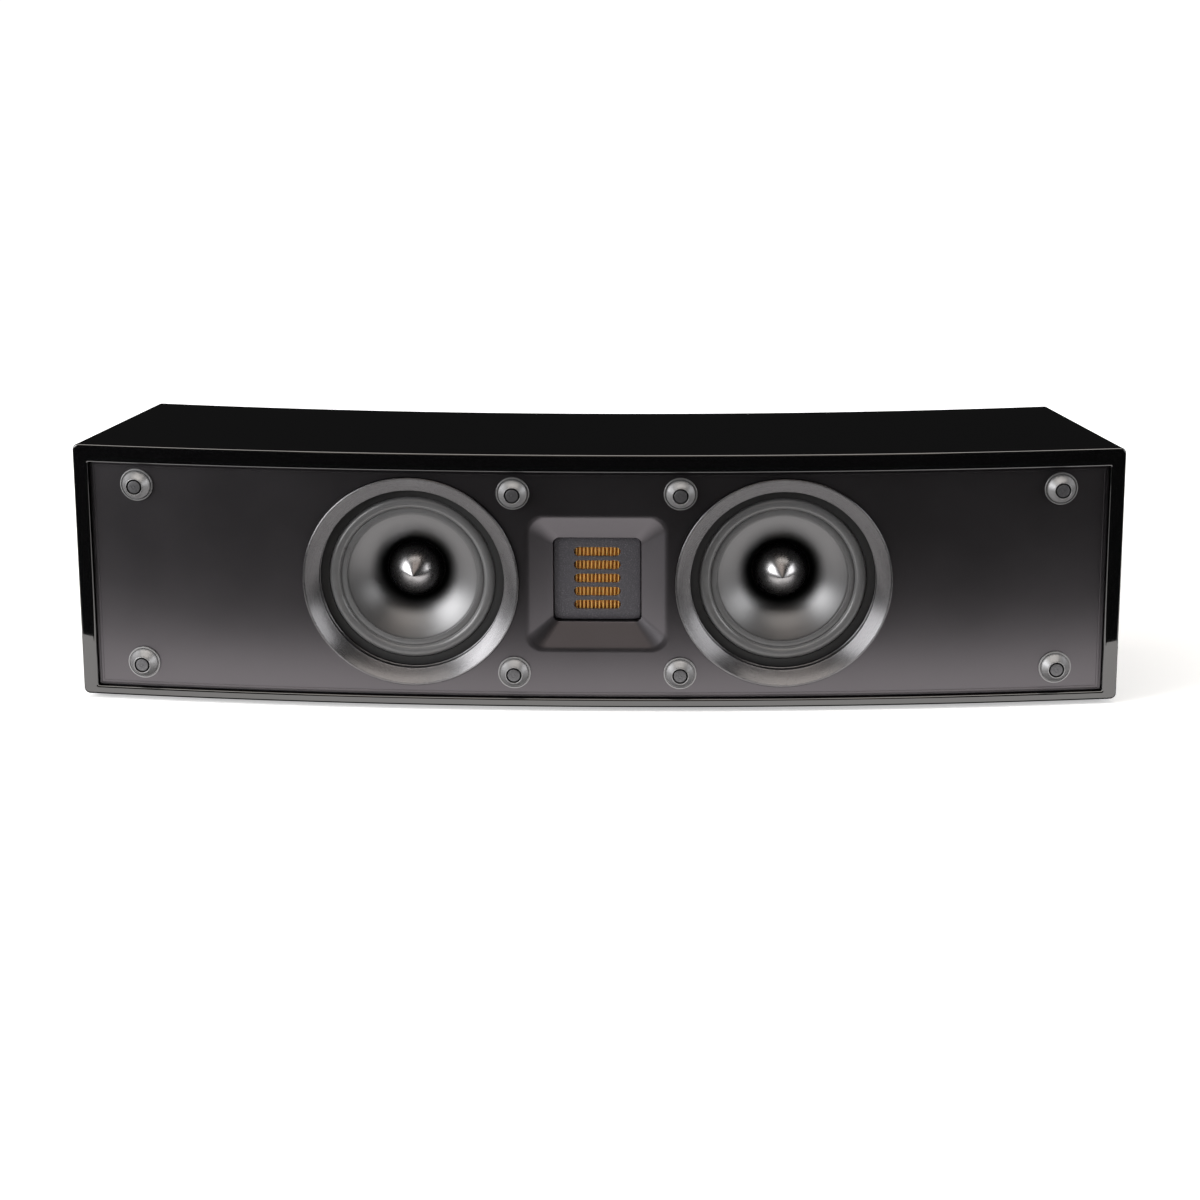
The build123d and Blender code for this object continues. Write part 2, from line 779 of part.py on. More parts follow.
with BuildPart() as tags:
    for seat, start in zip(woofer_seats.values(), (0, 180)):
        with BuildSketch(section(seat, start - tag_deg / 2)):
            with BuildLine():
                Polyline(
                    (basket_wall_r(tag_top), flange_w - tag_top),
                    (basket_wall_r(tag_top) + tag_t, flange_w - tag_top),
                    (basket_wall_r(tag_top + tag_len) + tag_t, flange_w - tag_top - tag_len),
                    (basket_wall_r(tag_top + tag_len), flange_w - tag_top - tag_len),
                    close=True,
                )
            make_face()
        revolve(axis=axis_of(seat), revolution_arc=tag_deg)
save(tags, "woofer_tags")

# Tweeter front plate: slotted land with a pocket for the film, and a flange behind the recess
slot_grid = GridLocations(0, slot_pitch, 1, slots)
land_back = -boss_back
land_front = -guide_depth - land_set
film_front = land_front - slot_web_t
flange_back = land_back - tweeter_flange_t
frame_back = flange_back - frame_t
bar_back = frame_back - bar_magnet_t
back_plate_back = bar_back - back_plate_t
tweeter_screw_grid = GridLocations(2 * tweeter_screw_at, 2 * tweeter_screw_at, 2, 2)
with BuildPart() as slotted:
    with BuildSketch(tweeter_seat.offset(land_back)):
        RectangleRounded(throat_w - 2 * land_gap, throat_h - 2 * land_gap, throat_corner_r - land_gap)
    extrude(amount=land_front - land_back)
    with BuildSketch(tweeter_seat.offset(flange_back)):
        RectangleRounded(tweeter_flange_w, tweeter_flange_w, throat_corner_r)
        with tweeter_screw_grid:
            Circle(screw_r, mode=Mode.SUBTRACT)
    extrude(amount=tweeter_flange_t)
    with BuildSketch(tweeter_seat.offset(land_front)):
        with slot_grid:
            SlotOverall(slot_w, slot_h)
    extrude(amount=flange_back - land_front, mode=Mode.SUBTRACT)
    with BuildSketch(tweeter_seat.offset(flange_back)):
        Rectangle(film_w + 2 * film_fit, film_h + 2 * film_fit)
    extrude(amount=film_front - flange_back, mode=Mode.SUBTRACT)
    slotted_face = slotted.faces().filter_by(Axis.Y).sort_by(Axis.Y)[0]
    chamfer(slotted_face.inner_wires().edges(), slot_bevel)
save(slotted, "tweeter_front_plate")

# Film frame and the pleated film that it holds in the pocket
with BuildPart() as film_frame:
    with BuildSketch(tweeter_seat.offset(frame_back)):
        Rectangle(frame_w, frame_w)
        Rectangle(film_w - 2 * film_hold, film_h - 2 * film_hold, mode=Mode.SUBTRACT)
    extrude(amount=frame_t)
save(film_frame, "tweeter_film_frame")

pleat_w = film_w / pleats
with BuildPart() as film:
    with BuildSketch(section(tweeter_seat)):
        folds = []
        for k in range(2 * pleats + 1):
            fold_w = film_front - film_fit - pleat_depth * (k % 2)
            folds.append((-film_w / 2 + k * pleat_w / 2, fold_w - film_t / 2))
        with BuildLine():
            Polyline(*folds, *[(x, w - film_t) for x, w in reversed(folds)], close=True)
        make_face()
    extrude(amount=film_h / 2, both=True)
save(film, "tweeter_film")

# Tweeter motor behind the film: bar magnets, slotted back plate, cover and felt
with BuildPart() as bars:
    with BuildSketch(tweeter_seat.offset(bar_back)):
        with GridLocations(2 * bar_magnet_x, 0, 2, 1):
            Rectangle(bar_magnet_w, bar_magnet_h)
    extrude(amount=bar_magnet_t)
save(bars, "tweeter_bar_magnets")

with BuildPart() as back_plate:
    with BuildSketch(tweeter_seat.offset(back_plate_back)):
        RectangleRounded(back_plate_w, back_plate_w, throat_corner_r)
        with slot_grid:
            SlotOverall(slot_w, slot_h, mode=Mode.SUBTRACT)
    extrude(amount=back_plate_t)
save(back_plate, "tweeter_back_plate")

with BuildPart() as cover:
    with BuildSketch(tweeter_seat.offset(back_plate_back)):
        RectangleRounded(back_plate_w, back_plate_w, throat_corner_r)
    extrude(amount=-cover_t)
    fillet(cover.faces().sort_by(Axis.Y)[-1].edges(), cover_wall)
    with BuildSketch(tweeter_seat.offset(back_plate_back)):
        Rectangle(back_plate_w - 2 * cover_wall, back_plate_w - 2 * cover_wall)
    extrude(amount=cover_wall - cover_t, mode=Mode.SUBTRACT)
save(cover, "tweeter_rear_cover")

with BuildPart() as felt:
    with BuildSketch(tweeter_seat.offset(back_plate_back - cover_t + cover_wall)):
        Rectangle(back_plate_w - 4 * cover_wall, back_plate_w - 4 * cover_wall)
    extrude(amount=felt_t)
save(felt, "tweeter_felt")

with BuildPart() as tweeter_screws:
    with BuildSketch(tweeter_seat.offset(flange_back)):
        with tweeter_screw_grid:
            Circle(screw_head_r)
    extrude(amount=-screw_head_t)
    with BuildSketch(tweeter_seat.offset(flange_back)):
        with tweeter_screw_grid:
            Circle(screw_r)
    extrude(amount=tweeter_screw_len)
save(tweeter_screws, "tweeter_screws")

# Terminal plate in its seat on the rear panel
plate_floor = rear_seat.offset(-terminal_sink)
plate_face = plate_floor.offset(terminal_t)
stud_grid = GridLocations(stud_pitch, 0, 2, 1)
terminal_screw_grid = GridLocations(
    terminal_w - 2 * terminal_screw_in, terminal_h - 2 * terminal_screw_in, 2, 2
)
with BuildPart() as terminal:
    with BuildSketch(plate_floor):
        RectangleRounded(terminal_w, terminal_h, terminal_corner_r)
        with stud_grid:
            Circle(stud_r, mode=Mode.SUBTRACT)
        with terminal_screw_grid:
            Circle(screw_r, mode=Mode.SUBTRACT)
    extrude(amount=terminal_t)
    chamfer(terminal.faces().sort_by(Axis.Y)[-1].outer_wire().edges(), terminal_t / 4)
save(terminal, "terminal_plate")

with BuildPart() as terminal_screws:
    with BuildSketch(plate_face):
        with terminal_screw_grid:
            Circle(screw_head_r)
    extrude(amount=screw_head_t)
    with BuildSketch(plate_face):
        with terminal_screw_grid:
            Circle(screw_r)
    extrude(amount=-screw_len)
save(terminal_screws, "terminal_screws")

# Binding posts: bored studs with a collar, a fluted thumb nut and a hex nut inside
with BuildPart() as studs:
    with BuildSketch(plate_floor.offset(-stud_in)):
        with stud_grid:
            Circle(stud_r)
    extrude(amount=stud_in + terminal_t + stud_out)
    with BuildSketch(plate_face.offset(stud_out - banana_deep)):
        with stud_grid:
            Circle(banana_r)
    extrude(amount=banana_deep, mode=Mode.SUBTRACT)
save(studs, "binding_studs")

for colour, side in (("red", -1), ("black", 1)):
    with BuildPart() as collar:
        with BuildSketch(plate_face):
            with Locations((side * stud_pitch / 2, 0)):
                Circle(collar_r)
                Circle(stud_r, mode=Mode.SUBTRACT)
        extrude(amount=collar_t)
        chamfer(collar.faces().sort_by(Axis.Y)[-1].outer_wire().edges(), collar_t / 4)
    save(collar, f"post_collar_{colour}")

    with BuildPart() as insert:
        with BuildSketch(plate_face.offset(collar_t + nut_gap)):
            with Locations((side * stud_pitch / 2, 0)):
                Circle(insert_r)
                Circle(stud_r + insert_fit, mode=Mode.SUBTRACT)
        extrude(amount=insert_len)
    save(insert, f"nut_insert_{colour}")

    with BuildPart() as nut:
        with BuildSketch(plate_face.offset(collar_t + nut_gap)):
            with Locations((side * stud_pitch / 2, 0)):
                Circle(nut_r)
                with PolarLocations(nut_r, nut_flutes):
                    Circle(flute_r, mode=Mode.SUBTRACT)
        extrude(amount=nut_len)
        with BuildSketch(plate_face.offset(collar_t + nut_gap)):
            with Locations((side * stud_pitch / 2, 0)):
                Circle(stud_r + 2 * insert_fit)
        extrude(amount=nut_len, mode=Mode.SUBTRACT)
        with BuildSketch(plate_face.offset(collar_t + nut_gap)):
            with Locations((side * stud_pitch / 2, 0)):
                Circle(insert_r + grip_fit)
        extrude(amount=insert_len + grip_fit, mode=Mode.SUBTRACT)
    save(nut, f"thumb_nut_{colour}")

with BuildPart() as hex_nuts:
    with BuildSketch(plate_floor):
        with stud_grid:
            RegularPolygon(hex_r, 6)
            Circle(stud_r, mode=Mode.SUBTRACT)
    extrude(amount=-hex_t)
save(hex_nuts, "terminal_hex_nuts")

# Crossover on spacers on the cabinet floor
cross_y = rear_y - rear_t - cross_back - cross_d / 2
cross_z = base_z + wall + spacer_h
cross_top = Plane((0, cross_y, cross_z + cross_t))
spacer_grid = GridLocations(cross_w - 2 * spacer_in, cross_d - 2 * spacer_in, 2, 2)
with BuildPart() as spacers:
    with BuildSketch(Plane((0, cross_y, base_z + wall))):
        with spacer_grid:
            Circle(spacer_r)
    extrude(amount=spacer_h)
save(spacers, "crossover_spacers")

with BuildPart() as cross_board:
    with BuildSketch(Plane((0, cross_y, cross_z))):
        RectangleRounded(cross_w, cross_d, cross_t)
    extrude(amount=cross_t)
save(cross_board, "crossover_board")

with BuildPart() as chokes:
    with BuildSketch(cross_top):
        with GridLocations(2 * choke_x, 0, 2, 1):
            Circle(choke_r)
            Circle(choke_bore_r, mode=Mode.SUBTRACT)
    extrude(amount=choke_h)
save(chokes, "crossover_chokes")

with BuildPart() as capacitors:
    with BuildSketch(Plane((0, cross_y, cross_z + cross_t + cap_r), x_dir=(1, 0, 0), z_dir=(0, -1, 0))):
        with GridLocations(cap_pitch, 0, caps, 1):
            Circle(cap_r)
    extrude(amount=cap_len / 2, both=True)
    fillet(capacitors.edges(), cap_r / 5)
save(capacitors, "crossover_capacitors")

with BuildPart() as resistors:
    with BuildSketch(cross_top):
        with GridLocations(2 * resistor_x, 0, 2, 1):
            Rectangle(resistor_w, resistor_l)
    extrude(amount=resistor_h)
save(resistors, "crossover_resistors")

# Lead wires that rise in pairs from the board to the woofers, the tweeter and the studs
tag_mid = tag_top + tag_len / 2
tag_r = basket_wall_r(tag_mid) + tag_t / 2
tag_low = tag_r * sin(radians(tag_deg / 2))
solder_z = cross_z + cross_t
with BuildPart() as wires:
    for seat, sign in zip(woofer_seats.values(), (1, -1)):
        for shift in (-wire_pitch / 2, wire_pitch / 2):
            foot = seat.from_local_coords((sign * tag_r, 0, flange_w - tag_mid + shift))
            with BuildSketch(Plane((foot.X, foot.Y, solder_z))):
                Circle(wire_r)
            extrude(amount=mid_z - tag_low - wire_slack - solder_z)
    with BuildSketch(Plane((0, tweeter_seat.origin.Y - (bar_back + back_plate_back) / 2, solder_z))):
        with GridLocations(3 * wire_pitch, 0, 2, 1):
            Circle(wire_r)
    extrude(amount=mid_z - back_plate_w / 2 - solder_z)
    with BuildSketch(Plane((0, plate_floor.origin.Y - stud_in + 2 * wire_r, solder_z))):
        with stud_grid:
            Circle(wire_r)
    extrude(amount=mid_z - stud_r - solder_z)
save(wires, "lead_wires")
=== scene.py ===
"""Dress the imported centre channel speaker.

The cabinet, the bowed baffle, the woofers, the tweeter and the terminals are modelled again as smooth meshes
over the CAD frame, and every surface gets a procedural finish. Sizes are in millimetres in the CAD frame:
+X right, +Z up, front towards -Y. Meshes are in metres.
"""

import json
import logging
import math
from dataclasses import dataclass, field
from enum import Enum
from typing import Callable, Optional, Sequence, Union

import bmesh
import bpy
from mathutils import Matrix, Vector


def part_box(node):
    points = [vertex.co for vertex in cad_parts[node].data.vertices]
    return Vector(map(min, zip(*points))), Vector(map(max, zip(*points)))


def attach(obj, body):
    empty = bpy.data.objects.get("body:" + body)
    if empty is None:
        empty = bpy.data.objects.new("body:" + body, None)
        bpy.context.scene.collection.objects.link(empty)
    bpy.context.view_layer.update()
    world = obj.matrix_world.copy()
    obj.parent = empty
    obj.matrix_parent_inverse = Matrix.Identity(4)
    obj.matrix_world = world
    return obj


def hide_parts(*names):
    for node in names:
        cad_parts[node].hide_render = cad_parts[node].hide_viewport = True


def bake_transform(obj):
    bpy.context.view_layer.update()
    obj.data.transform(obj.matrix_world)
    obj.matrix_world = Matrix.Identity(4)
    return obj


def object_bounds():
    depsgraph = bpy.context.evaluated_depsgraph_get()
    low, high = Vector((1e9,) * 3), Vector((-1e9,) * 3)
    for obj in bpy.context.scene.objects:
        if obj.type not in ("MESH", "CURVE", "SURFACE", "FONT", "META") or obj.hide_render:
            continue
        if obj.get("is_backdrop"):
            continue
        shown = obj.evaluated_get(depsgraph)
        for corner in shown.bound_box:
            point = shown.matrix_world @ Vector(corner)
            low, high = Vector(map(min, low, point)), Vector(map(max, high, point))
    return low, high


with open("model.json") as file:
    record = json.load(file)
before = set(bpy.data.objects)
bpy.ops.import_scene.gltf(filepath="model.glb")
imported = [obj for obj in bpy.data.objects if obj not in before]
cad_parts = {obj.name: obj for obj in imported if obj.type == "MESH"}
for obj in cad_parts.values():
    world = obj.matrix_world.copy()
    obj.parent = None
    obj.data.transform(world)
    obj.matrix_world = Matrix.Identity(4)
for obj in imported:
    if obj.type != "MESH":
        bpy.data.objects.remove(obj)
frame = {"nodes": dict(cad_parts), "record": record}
CAD_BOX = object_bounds()

MM = 0.001
NEAR = 1e-3  # mm within which a point counts as on a line
ROOT_BODY = "cabinet"
HOME = "home"
log = logging.getLogger("speaker")

Piece = bpy.types.Object
Point = tuple[float, float, float]
Loop = list[Point]
Profile = list[tuple[float, float]]
Colour = tuple[float, float, float]

# Near black that paints shade into hollows: a post's pocket and a cone's throat.
PAINTED_SHADE_BLACK: Colour = (0.004, 0.004, 0.004)


class Side(Enum):
    """The two halves of the speaker, as a sign along x."""

    LEFT = -1
    RIGHT = 1

    @property
    def word(self) -> str:
        """Name used in node and body names."""
        return self.name.lower()


class Coords(Enum):
    """What a pattern is laid out on."""

    OBJECT = "Object"
    HOME = HOME


# Shader tools


class Signal:
    """A shader socket that Python's operators work on."""

    def __init__(self, tree: "Tree", socket: bpy.types.NodeSocket) -> None:
        """Wrap a socket of a tree."""
        self.tree = tree
        self.socket = socket

    def __add__(self, other: "Value") -> "Signal":
        """Sum of two values."""
        return self.tree.maths("ADD", self, other)

    def __sub__(self, other: "Value") -> "Signal":
        """Difference of two values."""
        return self.tree.maths("SUBTRACT", self, other)

    def __rsub__(self, other: "Value") -> "Signal":
        """Difference with the signal on the right."""
        return self.tree.maths("SUBTRACT", other, self)

    def __mul__(self, other: "Value") -> "Signal":
        """Product of two values."""
        return self.tree.maths("MULTIPLY", self, other)

    __radd__ = __add__
    __rmul__ = __mul__

    def sine(self) -> "Signal":
        """Sine of the signal."""
        return self.tree.maths("SINE", self)

    def over(self, low: float, high: float) -> "Signal":
        """Smooth step from 0 at low to 1 at high."""
        settings = {"interpolation_type": "SMOOTHSTEP"}
        return self.tree.signal("MapRange", settings, {"Value": self, "From Min": low, "From Max": high})


Value = Union[Signal, float]
Input = Union[Signal, float, Sequence[float]]


class Tree:
    """Node tree of one material or of the world."""

    def __init__(self, nodes: bpy.types.NodeTree) -> None:
        """Start on an emptied node tree."""
        self.nodes = nodes
        nodes.nodes.clear()

    def node(self, kind: str, settings: dict, inputs: dict) -> bpy.types.Node:
        """Add one node.

        Args:
            kind: Node type without its ShaderNode prefix.
            settings: Attributes set first.
            inputs: Values or signals by socket name or number.

        Returns:
            The new node.
        """
        node = self.nodes.nodes.new("ShaderNode" + kind)
        for key, value in settings.items():
            setattr(node, key, value)
        for key, value in inputs.items():
            socket = node.inputs[key]
            if isinstance(value, Signal):
                self.nodes.links.new(value.socket, socket)
            else:
                socket.default_value = value
        return node

    def signal(self, kind: str, settings: dict, inputs: dict, out: Union[str, int] = 0) -> Signal:
        """Add one node and return one of its outputs.

        Args:
            kind: Node type without its ShaderNode prefix.
            settings: Attributes set first.
            inputs: Values or signals by socket name or number.
            out: Output socket's name or number.

        Returns:
            The output as a signal.
        """
        return Signal(self, self.node(kind, settings, inputs).outputs[out])

    def maths(self, operation: str, *values: Value) -> Signal:
        """Math node on one or two values."""
        return self.signal("Math", {"operation": operation}, dict(enumerate(values)))

    def mix(self, share: Value, first: Input, second: Input) -> Signal:
        """Colour between two colours."""
        inputs = {0: share, 6: self.opaque(first), 7: self.opaque(second)}
        return self.signal("Mix", {"data_type": "RGBA"}, inputs, 2)

    @staticmethod
    def opaque(colour: Input) -> Input:
        """Colour with its alpha, or the signal as it is."""
        return colour if isinstance(colour, Signal) else (*colour, 1.0)

    def place(self, coords: Coords) -> Signal:
        """Coordinates in metres: the object's own, or those kept from a piece's seat."""
        if coords is Coords.OBJECT:
            return self.signal("TexCoord", {}, {}, "Object")
        return self.signal("Attribute", {"attribute_name": coords.value}, {}, "Vector")

    def scaled(self, vector: Signal, factors: Sequence[float]) -> Signal:
        """Vector multiplied part by part."""
        return self.signal("VectorMath", {"operation": "MULTIPLY"}, {0: vector, 1: factors})

    def length(self, vector: Signal) -> Signal:
        """Length of a vector."""
        return self.signal("VectorMath", {"operation": "LENGTH"}, {0: vector}, "Value")

    def part(self, vector: Signal, axis: str) -> Signal:
        """One coordinate of a vector."""
        return self.signal("SeparateXYZ", {}, {0: vector}, axis)

    def noise(self, vector: Signal, size: float, detail: float = 2.0, roughness: float = 0.5) -> Signal:
        """Cloud noise whose grain is about size millimetres across."""
        inputs = {"Vector": vector, "Scale": 1.0 / (size * MM), "Detail": detail, "Roughness": roughness}
        return self.signal("TexNoise", {}, inputs)

    def lines(self, along: Signal, pitch: float, detail: float = 3.0) -> Signal:
        """Uneven lines across a coordinate in metres, about pitch millimetres apart."""
        inputs = {"W": along, "Scale": 1.0 / (pitch * MM), "Detail": detail, "Roughness": 0.7}
        return self.signal("TexNoise", {"noise_dimensions": "1D"}, inputs)

    def bump(self, height: Signal, depth: float) -> Signal:
        """Normal of a surface that height moves by depth millimetres."""
        inputs = {"Height": height, "Distance": depth * MM, "Strength": 1.0}
        return self.signal("Bump", {}, inputs, "Normal")

    def surface(self, **inputs: Input) -> None:
        """Principled shader with the named inputs, joined to the output."""
        self.node("OutputMaterial", {}, {"Surface": self.principled(**inputs)})

    def principled(self, **inputs: Input) -> Signal:
        """Principled shader with the named inputs."""
        named = {key.replace("_", " ").title().replace("Ior", "IOR"): value for key, value in inputs.items()}
        named["Base Color"] = self.opaque(named["Base Color"])
        return self.signal("BsdfPrincipled", {}, named)


# Finishes


def blank_material(name: str) -> tuple[bpy.types.Material, Tree]:
    """New material and its empty tree."""
    material = bpy.data.materials.new(name)
    material.use_nodes = True
    return material, Tree(material.node_tree)


def toned(colour: Colour, factor: float) -> Colour:
    """Colour made darker or lighter."""
    return tuple(factor * part for part in colour)


@dataclass(frozen=True)
class Finish:
    """A surface finish; each kind paints its own node tree."""

    name: str

    def paint(self, tree: Tree) -> None:
        """Fill the node tree."""
        raise NotImplementedError

    def material(self) -> bpy.types.Material:
        """Material with this finish, made once.

        Returns:
            The material.
        """
        label = f"finish_{self.name}"
        material = bpy.data.materials.get(label)
        if material is None:
            material, tree = blank_material(label)
            self.paint(tree)
        return material


@dataclass(frozen=True)
class Lacquer(Finish):
    """Polished clear lacquer over black paint, with a trace of orange peel."""

    colour: Colour = (0.0016, 0.0016, 0.0018)
    peel_size: float = 9.0
    peel_depth: float = 0.004

    def paint(self, tree: Tree) -> None:
        """Fill the node tree.

        Args:
            tree: The material's empty tree.
        """
        place = tree.place(Coords.OBJECT)
        peel = tree.noise(place, self.peel_size, 1.0)
        haze = tree.noise(place, 60.0, 3.0)
        tree.surface(
            base_color=self.colour,
            roughness=0.035 + 0.03 * haze,
            specular_ior_level=0.5,
            coat_weight=1.0,
            coat_roughness=0.015,
            coat_ior=1.6,
            normal=tree.bump(peel, self.peel_depth),
        )


@dataclass(frozen=True)
class Satin(Finish):
    """Blasted and dyed metal: even, with a very fine grain and slow changes of sheen."""

    colour: Colour = (0.103, 0.097, 0.104)
    metallic: float = 1.0
    roughness: float = 0.36
    grain_size: float = 0.5
    grain_depth: float = 0.006

    def paint(self, tree: Tree) -> None:
        """Fill the node tree.

        Args:
            tree: The material's empty tree.
        """
        place = tree.place(Coords.OBJECT)
        grain = tree.noise(place, self.grain_size, 2.0, 0.6)
        cloud = tree.noise(place, 45.0, 3.0)
        dark, light = toned(self.colour, 0.88), toned(self.colour, 1.1)
        tree.surface(
            base_color=tree.mix(0.35 * grain + 0.65 * cloud, dark, light),
            metallic=self.metallic,
            roughness=self.roughness - 0.03 + 0.05 * cloud + 0.03 * grain,
            normal=tree.bump(grain, self.grain_depth),
        )


@dataclass(frozen=True)
class Turned(Finish):
    """Metal turned on a lathe: fine lines round the axis of the piece's own seat.

    The sheen is drawn out across the lines by smear degrees. Inside the inner radius of shade the colour is painted
    shade, near black, fading back to the metal's colour by the outer radius.
    """

    colour: Colour = (0.42, 0.42, 0.44)
    roughness: float = 0.24
    pitch: float = 0.22
    depth: float = 0.004
    metallic: float = 1.0
    slope: float = 0.8
    colour_spread: float = 0.12
    smear: float = 0.0
    # Radii in mm of painted shade: near black inside the first, the metal's own colour beyond the second.
    shade: Optional[tuple[float, float]] = None

    def paint(self, tree: Tree) -> None:
        """Fill the node tree.

        Args:
            tree: The material's empty tree.
        """
        place = tree.place(Coords.HOME)
        radius = tree.length(tree.scaled(place, (1.0, 1.0, 0.0)))
        along = radius + self.slope * tree.part(place, "Z")
        lines = tree.lines(along, self.pitch)
        streaks = tree.lines(along, self.pitch * 6.0, 1.0)
        cloud = tree.noise(place, 14.0, 3.0)
        dark, light = toned(self.colour, 1.0 - self.colour_spread), toned(self.colour, 1.0 + self.colour_spread)
        colour = tree.mix(0.5 * lines + 0.3 * streaks + 0.2 * cloud, dark, light)
        # Painted shade: near black inside the inner radius, fading to the metal's colour by the outer one.
        if self.shade is not None:
            inner, outer = self.shade
            colour = tree.mix(radius.over(inner * MM, outer * MM), PAINTED_SHADE_BLACK, colour)
        lobes = []
        for tilt in (-self.smear, 0.0, self.smear) if self.smear > 0.0 else (0.0,):
            height = self.depth * lines + math.tan(math.radians(tilt)) / MM * radius
            lobes.append(
                tree.principled(
                    base_color=colour,
                    metallic=self.metallic,
                    roughness=self.roughness - 0.04 + 0.06 * lines + 0.03 * cloud,
                    normal=tree.bump(height, 1.0),
                )
            )
        shader = lobes[0]
        for count, lobe in enumerate(lobes[1:], 2):
            shader = tree.signal("MixShader", {}, {0: 1.0 / count, 1: shader, 2: lobe})
        tree.node("OutputMaterial", {}, {"Surface": shader})


@dataclass(frozen=True)
class Mirror(Finish):
    """Polished dark plating with faint polishing swirls."""

    colour: Colour = (0.30, 0.295, 0.30)
    roughness: float = 0.26

    def paint(self, tree: Tree) -> None:
        """Fill the node tree.

        Args:
            tree: The material's empty tree.
        """
        place = tree.place(Coords.HOME)
        swirl = tree.noise(place, 3.0, 4.0)
        wave = tree.noise(place, 12.0, 1.0)
        tree.surface(
            base_color=tree.mix(swirl, toned(self.colour, 0.9), self.colour),
            metallic=1.0,
            roughness=self.roughness + 0.03 * swirl,
            normal=tree.bump(wave, 0.004),
        )


@dataclass(frozen=True)
class Grained(Finish):
    """Rubber, paint, plastic or board: mottled colour over a fine grain."""

    colour: Colour = (0.03, 0.03, 0.03)
    roughness: float = 0.55
    grain_size: float = 0.6
    grain_depth: float = 0.03
    metallic: float = 0.0
    coat: float = 0.0
    mottle: float = 0.2
    mottle_size: float = 12.0
    sheen: float = 0.0
    coords: Coords = Coords.OBJECT

    def paint(self, tree: Tree) -> None:
        """Fill the node tree.

        Args:
            tree: The material's empty tree.
        """
        place = tree.place(self.coords)
        grain = tree.noise(place, self.grain_size, 3.0, 0.6)
        cloud = tree.noise(place, self.mottle_size, 3.0)
        dark, light = toned(self.colour, 1.0 - self.mottle), toned(self.colour, 1.0 + self.mottle)
        tree.surface(
            base_color=tree.mix(0.5 * grain + 0.5 * cloud, dark, light),
            metallic=self.metallic,
            roughness=self.roughness - 0.05 + 0.06 * cloud + 0.04 * grain,
            coat_weight=self.coat,
            coat_roughness=0.06,
            sheen_weight=self.sheen,
            normal=tree.bump(grain, self.grain_depth),
        )


@dataclass(frozen=True)
class Speckled(Finish):
    """Fine sand texture: dark paint with small bright grains standing out of it."""

    colour: Colour = (0.075, 0.072, 0.082)
    bright: Colour = (0.22, 0.215, 0.235)
    grain_size: float = 0.75
    grain_depth: float = 0.12
    roughness: float = 0.5
    metallic: float = 0.55
    coords: Coords = Coords.OBJECT

    def paint(self, tree: Tree) -> None:
        """Fill the node tree.

        Args:
            tree: The material's empty tree.
        """
        place = tree.place(self.coords)
        inputs = {"Vector": place, "Scale": 1.0 / (self.grain_size * MM), "Randomness": 1.0}
        cell = tree.signal("TexVoronoi", {}, inputs, "Distance")
        grain = tree.noise(place, self.grain_size * 0.8, 3.0, 0.7)
        spark = grain.over(0.52, 0.72)
        tree.surface(
            base_color=tree.mix(spark, self.colour, self.bright),
            metallic=self.metallic,
            roughness=self.roughness - 0.1 * spark + 0.08 * cell,
            normal=tree.bump(grain - 0.3 * cell, self.grain_depth),
        )


@dataclass(frozen=True)
class Foil(Finish):
    """Metallised amber film with traces printed along its pleats."""

    colour: Colour = (0.96, 0.60, 0.19)
    crease: Colour = (0.52, 0.24, 0.04)
    trace_pitch: float = 0.62

    def paint(self, tree: Tree) -> None:
        """Fill the node tree.

        Args:
            tree: The material's empty tree.
        """
        place = tree.place(Coords.HOME)
        cloud = tree.noise(place, 4.0, 3.0)
        traces = (tree.part(place, "X") * (2.0 * math.pi / (self.trace_pitch * MM))).sine()
        share = 0.35 * cloud + 0.12 * traces.over(-0.2, 0.6)
        tree.surface(
            base_color=tree.mix(share, self.colour, self.crease),
            metallic=0.4,
            roughness=0.32 + 0.12 * cloud,
            normal=tree.bump(cloud, 0.05),
        )


@dataclass(frozen=True)
class Wound(Finish):
    """Enamelled wire wound in even turns on the deep end of a dark former."""

    colour: Colour = (0.50, 0.22, 0.09)
    former: Colour = (0.012, 0.012, 0.012)
    pitch: float = 0.8
    former_end: tuple[float, float] = (-19.0, -17.0)

    def paint(self, tree: Tree) -> None:
        """Fill the node tree.

        Args:
            tree: The material's empty tree.
        """
        place = tree.place(Coords.OBJECT)
        turns = (tree.part(place, "Z") * (2.0 * math.pi / (self.pitch * MM))).sine()
        cloud = tree.noise(place, 6.0, 2.0)
        wire = tree.mix(turns.over(-1.0, 0.6), toned(self.colour, 0.6), self.colour)
        deep = tree.part(place, "Y").over(self.former_end[0] * MM, self.former_end[1] * MM)
        tree.surface(
            base_color=tree.mix(deep, self.former, wire),
            metallic=0.8,
            roughness=0.28 + 0.1 * cloud,
            normal=tree.bump(turns, self.pitch * 0.2),
        )


